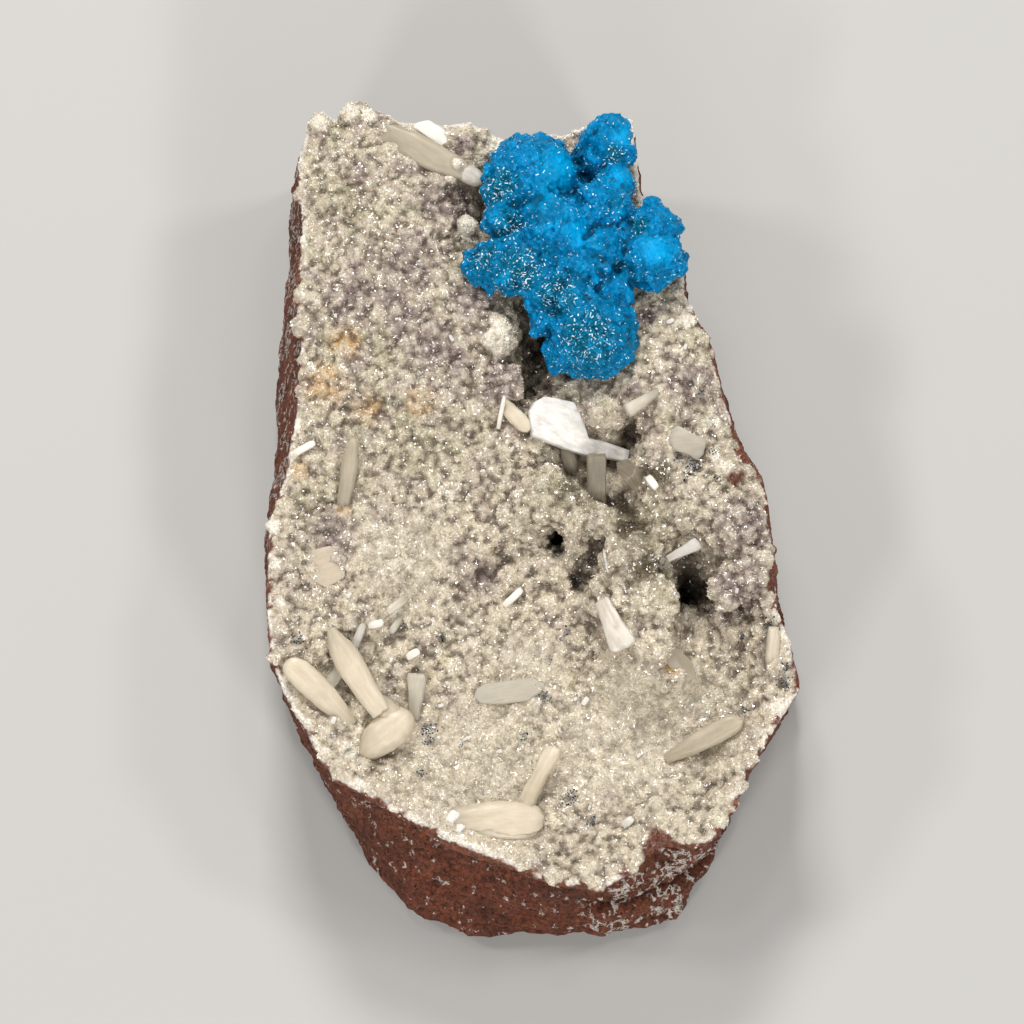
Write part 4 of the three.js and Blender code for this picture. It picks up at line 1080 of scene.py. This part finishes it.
# How square each form's cross-section is, then how wide and how thick it is at shares of its length
FORMS = {
    "leaf": (3.4, [
        (0, 0.45, 0.5), (0.15, 0.74, 0.8), (0.42, 1, 1), (0.7, 0.9, 0.95), (0.9, 0.74, 0.85), (1, 0.5, 0.5),
    ]),
    "club": (3.3, [
        (0, 0.4, 0.5), (0.12, 0.6, 0.75), (0.35, 0.86, 0.95), (0.6, 1, 1), (0.85, 0.94, 0.95), (0.95, 0.76, 0.75),
        (1, 0.42, 0.4),
    ]),
    "spindle": (3.2, [
        (0, 0.34, 0.35), (0.08, 0.52, 0.6), (0.22, 0.86, 0.9), (0.36, 1, 1), (0.6, 0.9, 0.95), (0.85, 0.78, 0.9),
        (1, 0.66, 0.7),
    ]),
    "fan": (3.6, [
        (0, 0.55, 0.7), (0.3, 0.66, 0.84), (0.6, 0.84, 0.95), (0.85, 1, 1), (0.96, 0.98, 0.9), (1, 0.86, 0.7),
    ]),
    "post": (2.8, [
        (0, 0.95, 0.9), (0.1, 0.78, 0.85), (0.3, 0.85, 0.95), (0.55, 1, 1), (0.72, 0.92, 0.95), (0.82, 0.66, 0.8),
        (0.94, 0.6, 0.7), (1, 0.4, 0.45),
    ]),
    "sheaf": (3.2, [
        (0, 0.46, 0.45), (0.04, 0.58, 0.65), (0.14, 0.66, 0.82), (0.35, 0.86, 0.95), (0.6, 1, 1), (0.84, 0.9, 0.94),
        (0.95, 0.7, 0.7), (1, 0.42, 0.4),
    ]),
    "stub": (2.6, [
        (0, 0.66, 0.7), (0.2, 0.88, 0.92), (0.5, 1, 1), (0.8, 0.93, 0.92), (0.94, 0.7, 0.7), (1, 0.42, 0.4),
    ]),
    "bud": (2.4, [
        (0, 0.35, 0.4), (0.15, 0.66, 0.7), (0.4, 0.94, 0.95), (0.62, 1, 1), (0.82, 0.88, 0.9), (0.95, 0.58, 0.6),
        (1, 0.25, 0.3),
    ]),
    "stem": (3.2, [(0, 1, 1), (0.25, 0.8, 0.9), (0.6, 0.7, 0.85), (0.92, 0.84, 0.85), (1, 0.74, 0.6)]),
    "prism": (6.0, [(0, 1, 1), (0.5, 1, 1), (0.95, 1, 1), (1, 0.9, 0.85)]),
    "rod": (3.4, [(0, 0.85, 0.85), (0.1, 1, 1), (0.86, 0.96, 0.95), (0.95, 0.82, 0.8), (1, 0.55, 0.5)]),
    "flake": (5.0, [(0, 0.7, 0.8), (0.08, 0.95, 1), (0.5, 1, 1), (0.9, 0.9, 0.95), (1, 0.7, 0.6)]),
}
# How deep the lengthwise grooves are, as a share of the thickness, and how unevenly the blades end, as a
# share of the length
GROOVES = {"fan": 0.07, "sheaf": 0.12, "club": 0.12, "spindle": 0.08, "stem": 0.12, "prism": 0.08}
RAGGED = {"fan": 0.08, "flake": 0.12, "stem": 0.07}


def crystal_ground():
    """Where the crystals lie or stand, as patches that the crust's lumps leave free."""
    taken = []
    for _, root, tip, width, *_ in CRYSTALS:
        for share in (0.4, 0.6, 0.75, 0.9):
            place = Vector(root).lerp(Vector(tip), share)
            taken.append((place.x, place.y, 0.5 * width + 0.5))
    for *_, outline in SLABS:
        middle = sum((Vector(p) for p in outline), Vector()) / len(outline)
        reach = sum((Vector(p) - middle).length for p in outline) / len(outline)
        taken.append((middle.x, middle.y, 0.65 * reach))
    return taken


def crystal_mesh(root, tip, width, thickness, twist, form, seed):
    """Vertices, faces, lengthwise coordinates and shares of the length of one stilbite crystal: a
    flattened outline with rounded edges and shallow grooves, swept from root to tip."""
    dice = np.random.default_rng(seed)
    root, tip = Vector(root), Vector(tip)
    along = tip - root
    length = along.length
    along.normalize()
    side = Vector((0, 0, 1)).cross(along).normalized()
    side.rotate(Matrix.Rotation(math.radians(twist), 4, along))
    up = along.cross(side)
    square, profile = FORMS[form]
    shares, widths, depths = np.array(profile, float).T
    sides, steps = (28, 15) if width > 1 else (12, 6)
    stations = np.unique(np.concatenate([np.linspace(0, 1, steps), [0.02, 0.96, 0.985]]))
    angles = 2 * np.pi * (np.arange(sides) + 0.5) / sides
    cosines, sines = np.cos(angles), np.sin(angles)
    squared = (np.abs(cosines) ** square + np.abs(sines) ** square) ** (-1 / square)
    across, rise = cosines * squared, sines * squared
    centres = dice.uniform(-0.95, 0.95, (2, 7))
    depth = GROOVES.get(form, 0.03) * dice.uniform(0.4, 1.0, (2, 7))
    spans = dice.uniform(0.05, 0.16, (2, 7))
    ends = dice.uniform(0, RAGGED.get(form, 0.03), 9)
    bow = 0.05 * width * dice.uniform(-1, 1, 2)
    verts, grain, shares_along, faces = [], [], [], []
    for share in stations:
        wide, tall = np.interp(share, shares, widths), np.interp(share, shares, depths)
        drift = 0.06 * math.sin(3 * share + seed)
        faces_up = (rise < 0).astype(int)
        cut = np.zeros(sides)
        for k in range(7):
            away = (across - centres[faces_up, k] - drift) / spans[faces_up, k]
            cut += depth[faces_up, k] * np.exp(-away * away)
        short = np.interp(across, np.linspace(-1, 1, 9), ends) * max(0, share - 0.6) / 0.4
        curve = 4 * share * (1 - share)
        for i in range(sides):
            x = (share - short[i]) * length
            y = across[i] * width / 2 * wide + bow[0] * curve
            z = rise[i] * thickness / 2 * tall * (1 - cut[i]) + bow[1] * curve
            place = root + along * x + side * y + up * z
            bulge = noise.noise(place * 0.9) * 0.035 * width + noise.noise(place * 2.7) * 0.02 * width
            verts.append(place + (side * across[i] + up * rise[i]) * bulge)
            grain.append((across[i] * width / 2 + 3 * seed + (rise[i] < 0) * 0.7, x))
            shares_along.append(share)
    for r in range(len(stations) - 1):
        for i in range(sides):
            a, b = r * sides + i, r * sides + (i + 1) % sides
            faces.append((a, b, b + sides, a + sides))
    for first, reach, flip in ((0, -0.012, True), ((len(stations) - 1) * sides, 0.02, False)):
        ring = range(first, first + sides)
        middle = sum((verts[i] for i in ring), Vector()) / sides + along * (reach * length)
        centre = len(verts)
        verts.append(middle)
        grain.append((3 * seed, (middle - root).dot(along)))
        shares_along.append(0.0 if flip else 1.0)
        for i in range(sides):
            a, b = first + i, first + (i + 1) % sides
            faces.append((b, a, centre) if flip else (a, b, centre))
    return verts, faces, grain, shares_along


def slab_mesh(outline, thickness, seed):
    """The same for a flat crystal: its outline's face made a plate with bevelled edges."""
    body = bmesh.new()
    face = body.faces.new([body.verts.new(p) for p in outline])
    face.normal_update()
    if face.normal.z < 0:
        face.normal_flip()
    down = face.normal * -thickness
    grown = bmesh.ops.extrude_face_region(body, geom=[face])["geom"]
    for v in grown:
        if isinstance(v, bmesh.types.BMVert):
            v.co += down
    bmesh.ops.bevel(body, geom=body.edges[:], offset=0.1, segments=1, affect="EDGES")
    bmesh.ops.triangulate(body, faces=body.faces)
    body.verts.index_update()
    points = [v.co.copy() for v in body.verts]
    faces = [tuple(v.index for v in f.verts) for f in body.faces]
    body.free()
    start = Vector(outline[0])
    far = max((Vector(p) for p in outline), key=lambda p: (p - start).length)
    along = (far - start).normalized()
    side = Vector((0, 0, 1)).cross(along).normalized()
    grain = [((p - start).dot(side) + 3 * seed, (p - start).dot(along)) for p in points]
    return points, faces, grain, [0.8] * len(points)


def crystal_piece(name, meshes):
    """One piece of several crystals' meshes, with their lengthwise coordinates and shares."""
    verts, faces, grain, along = [], [], [], []
    for more in meshes:
        faces += [[v + len(verts) for v in face] for face in more[1]]
        verts += more[0]
        grain += more[2]
        along += more[3]
    mesh = bpy.data.meshes.new(name)
    mesh.from_pydata(verts, [], faces)
    body = bmesh.new()
    body.from_mesh(mesh)
    bmesh.ops.recalc_face_normals(body, faces=body.faces)
    body.to_mesh(mesh)
    body.free()
    put(mesh, "along", np.array(along, float))
    mesh.polygons.foreach_set("use_smooth", [True] * len(mesh.polygons))
    mesh.set_sharp_from_angle(angle=math.radians(SHARPEST_BEND))
    spread = mesh.uv_layers.new(name="length")
    corners = np.empty(len(mesh.loops), int)
    mesh.loops.foreach_get("vertex_index", corners)
    spread.data.foreach_set("uv", np.array(grain)[corners].astype(np.float32).ravel())
    return new_piece(name, mesh)


def fused(name, meshes):
    """Crystals that grew through each other, under one skin: what lies inside another is cut away."""
    parts = [crystal_piece(f"{name}_{i}", [mesh]) for i, mesh in enumerate(meshes)]
    for other in parts[1:]:
        union = parts[0].modifiers.new("union", "BOOLEAN")
        union.operation, union.solver, union.object = "UNION", "EXACT", other
    graph = bpy.context.evaluated_depsgraph_get()
    whole = bpy.data.meshes.new_from_object(parts[0].evaluated_get(graph))
    for part in parts:
        bpy.data.objects.remove(part)
    whole.name = name
    whole.set_sharp_from_angle(angle=math.radians(SHARPEST_BEND))
    return new_piece(name, whole)


def build_stilbites():
    made = {}
    for seed, row in enumerate(CRYSTALS):
        made.setdefault((row[0], row[7]), []).append(crystal_mesh(*row[1:7], seed))
    for seed, (node, finish, thickness, outline) in enumerate(SLABS):
        made.setdefault((node, finish), []).append(slab_mesh(outline, thickness, 40 + seed))
    for (node, finish), meshes in made.items():
        name = f"{node}_{finish}"
        piece = fused(name, meshes) if len(meshes) > 1 else crystal_piece(name, meshes)
        set_in_place(piece, ["stilbite_" + node], FINISHES[finish])


def build_flakes(crust):
    """Small bright flakes standing on the crust."""
    whole = skin(crust.data)
    meshes = []
    for seed, (x, y, turn, length, width) in enumerate(FLAKES):
        angle = math.radians(turn)
        reach = Vector((math.cos(angle), math.sin(angle), 0.15)) * (length / 2)
        middle = top_at(whole, x, y) + Vector((0, 0, 0.3))
        meshes.append(crystal_mesh(middle - reach, middle + reach, width, 0.5 * width, 10, "flake", 60 + seed))
    set_in_place(crystal_piece("druse_flakes", meshes), ["druse_crust"], FINISHES["white"])


# ---- Floor, light and camera


def light(name, azimuth, elevation, size, power):
    """A square soft white light aimed at the specimen from 0.6 m, its angles in degrees from the back."""
    lamp = bpy.data.lights.new(name, "AREA")
    lamp.size, lamp.energy, lamp.color = size, power, linear("#fffcf7")[:3]
    holder = bpy.data.objects.new(name, lamp)
    a, e = math.radians(azimuth), math.radians(elevation)
    away = Vector((math.sin(a) * math.cos(e), math.cos(a) * math.cos(e), math.sin(e)))
    holder.location = away * 0.6 + Vector((0, 0, 0.02))
    holder.rotation_euler = away.to_track_quat("Z", "Y").to_euler()
    bpy.context.scene.collection.objects.link(holder)


def build_stage():
    bpy.ops.mesh.primitive_plane_add(size=4, location=(0, 0, 0))
    floor = bpy.context.object
    floor.name = "floor"
    material, _, shader = new_material("pale matt board")
    shader.inputs["Base Color"].default_value = linear("#b9b9b8")
    shader.inputs["Roughness"].default_value = 0.9
    floor.data.materials.append(material)

    world = bpy.data.worlds.new("studio")
    bpy.context.scene.world = world
    world.use_nodes = True
    sky = world.node_tree.nodes["Background"]
    sky.inputs["Color"].default_value = linear("#f0f0f0")
    sky.inputs["Strength"].default_value = 0.2

    for name, azimuth, elevation, size, power in (
        ("key", -8, 48, 0.13, 2.35),
        ("left", -75, 52, 0.08, 0.65),
        ("right", 70, 55, 0.08, 0.6),
        ("front left", -152, 40, 0.08, 0.85),
        ("front right", 150, 42, 0.08, 0.85),
        ("low front", 172, 20, 0.1, 0.8),
        ("high left", -40, 75, 0.06, 0.25),
        ("high right", 35, 72, 0.06, 0.25),
    ):
        light(name, azimuth, elevation, size, power)
    bpy.context.scene.view_settings.view_transform = "Standard"

    lens = bpy.data.cameras.new("camera")
    lens.lens, lens.sensor_width = 150, 36
    lens.clip_start, lens.clip_end = 0.01, 10
    camera = bpy.data.objects.new("camera", lens)
    bpy.context.scene.collection.objects.link(camera)
    aim, distance, tilt = Vector((-2.3, 1.14, 20.0)) * MM, 469 * MM, math.radians(15)
    back = Vector((0, -math.sin(tilt), math.cos(tilt)))
    camera.location = aim + back * distance
    camera.rotation_euler = back.to_track_quat("Z", "Y").to_euler()
    bpy.context.scene.camera = camera


lump_growth = growth_tree("Lump growth", round_lump, True)
angular_growth = growth_tree("Angular growth", angular_lump, True)
flash_growth = growth_tree("Flash growth", bright_bars, False)
crystal_growth = growth_tree("Crystal growth", druse_points, False)
blade_growth = growth_tree("Blade growth", thin_blades, False)
roughening = roughening_tree()

build_basalt()
build_crust()
build_cavansite()
build_stilbites()
build_stage()
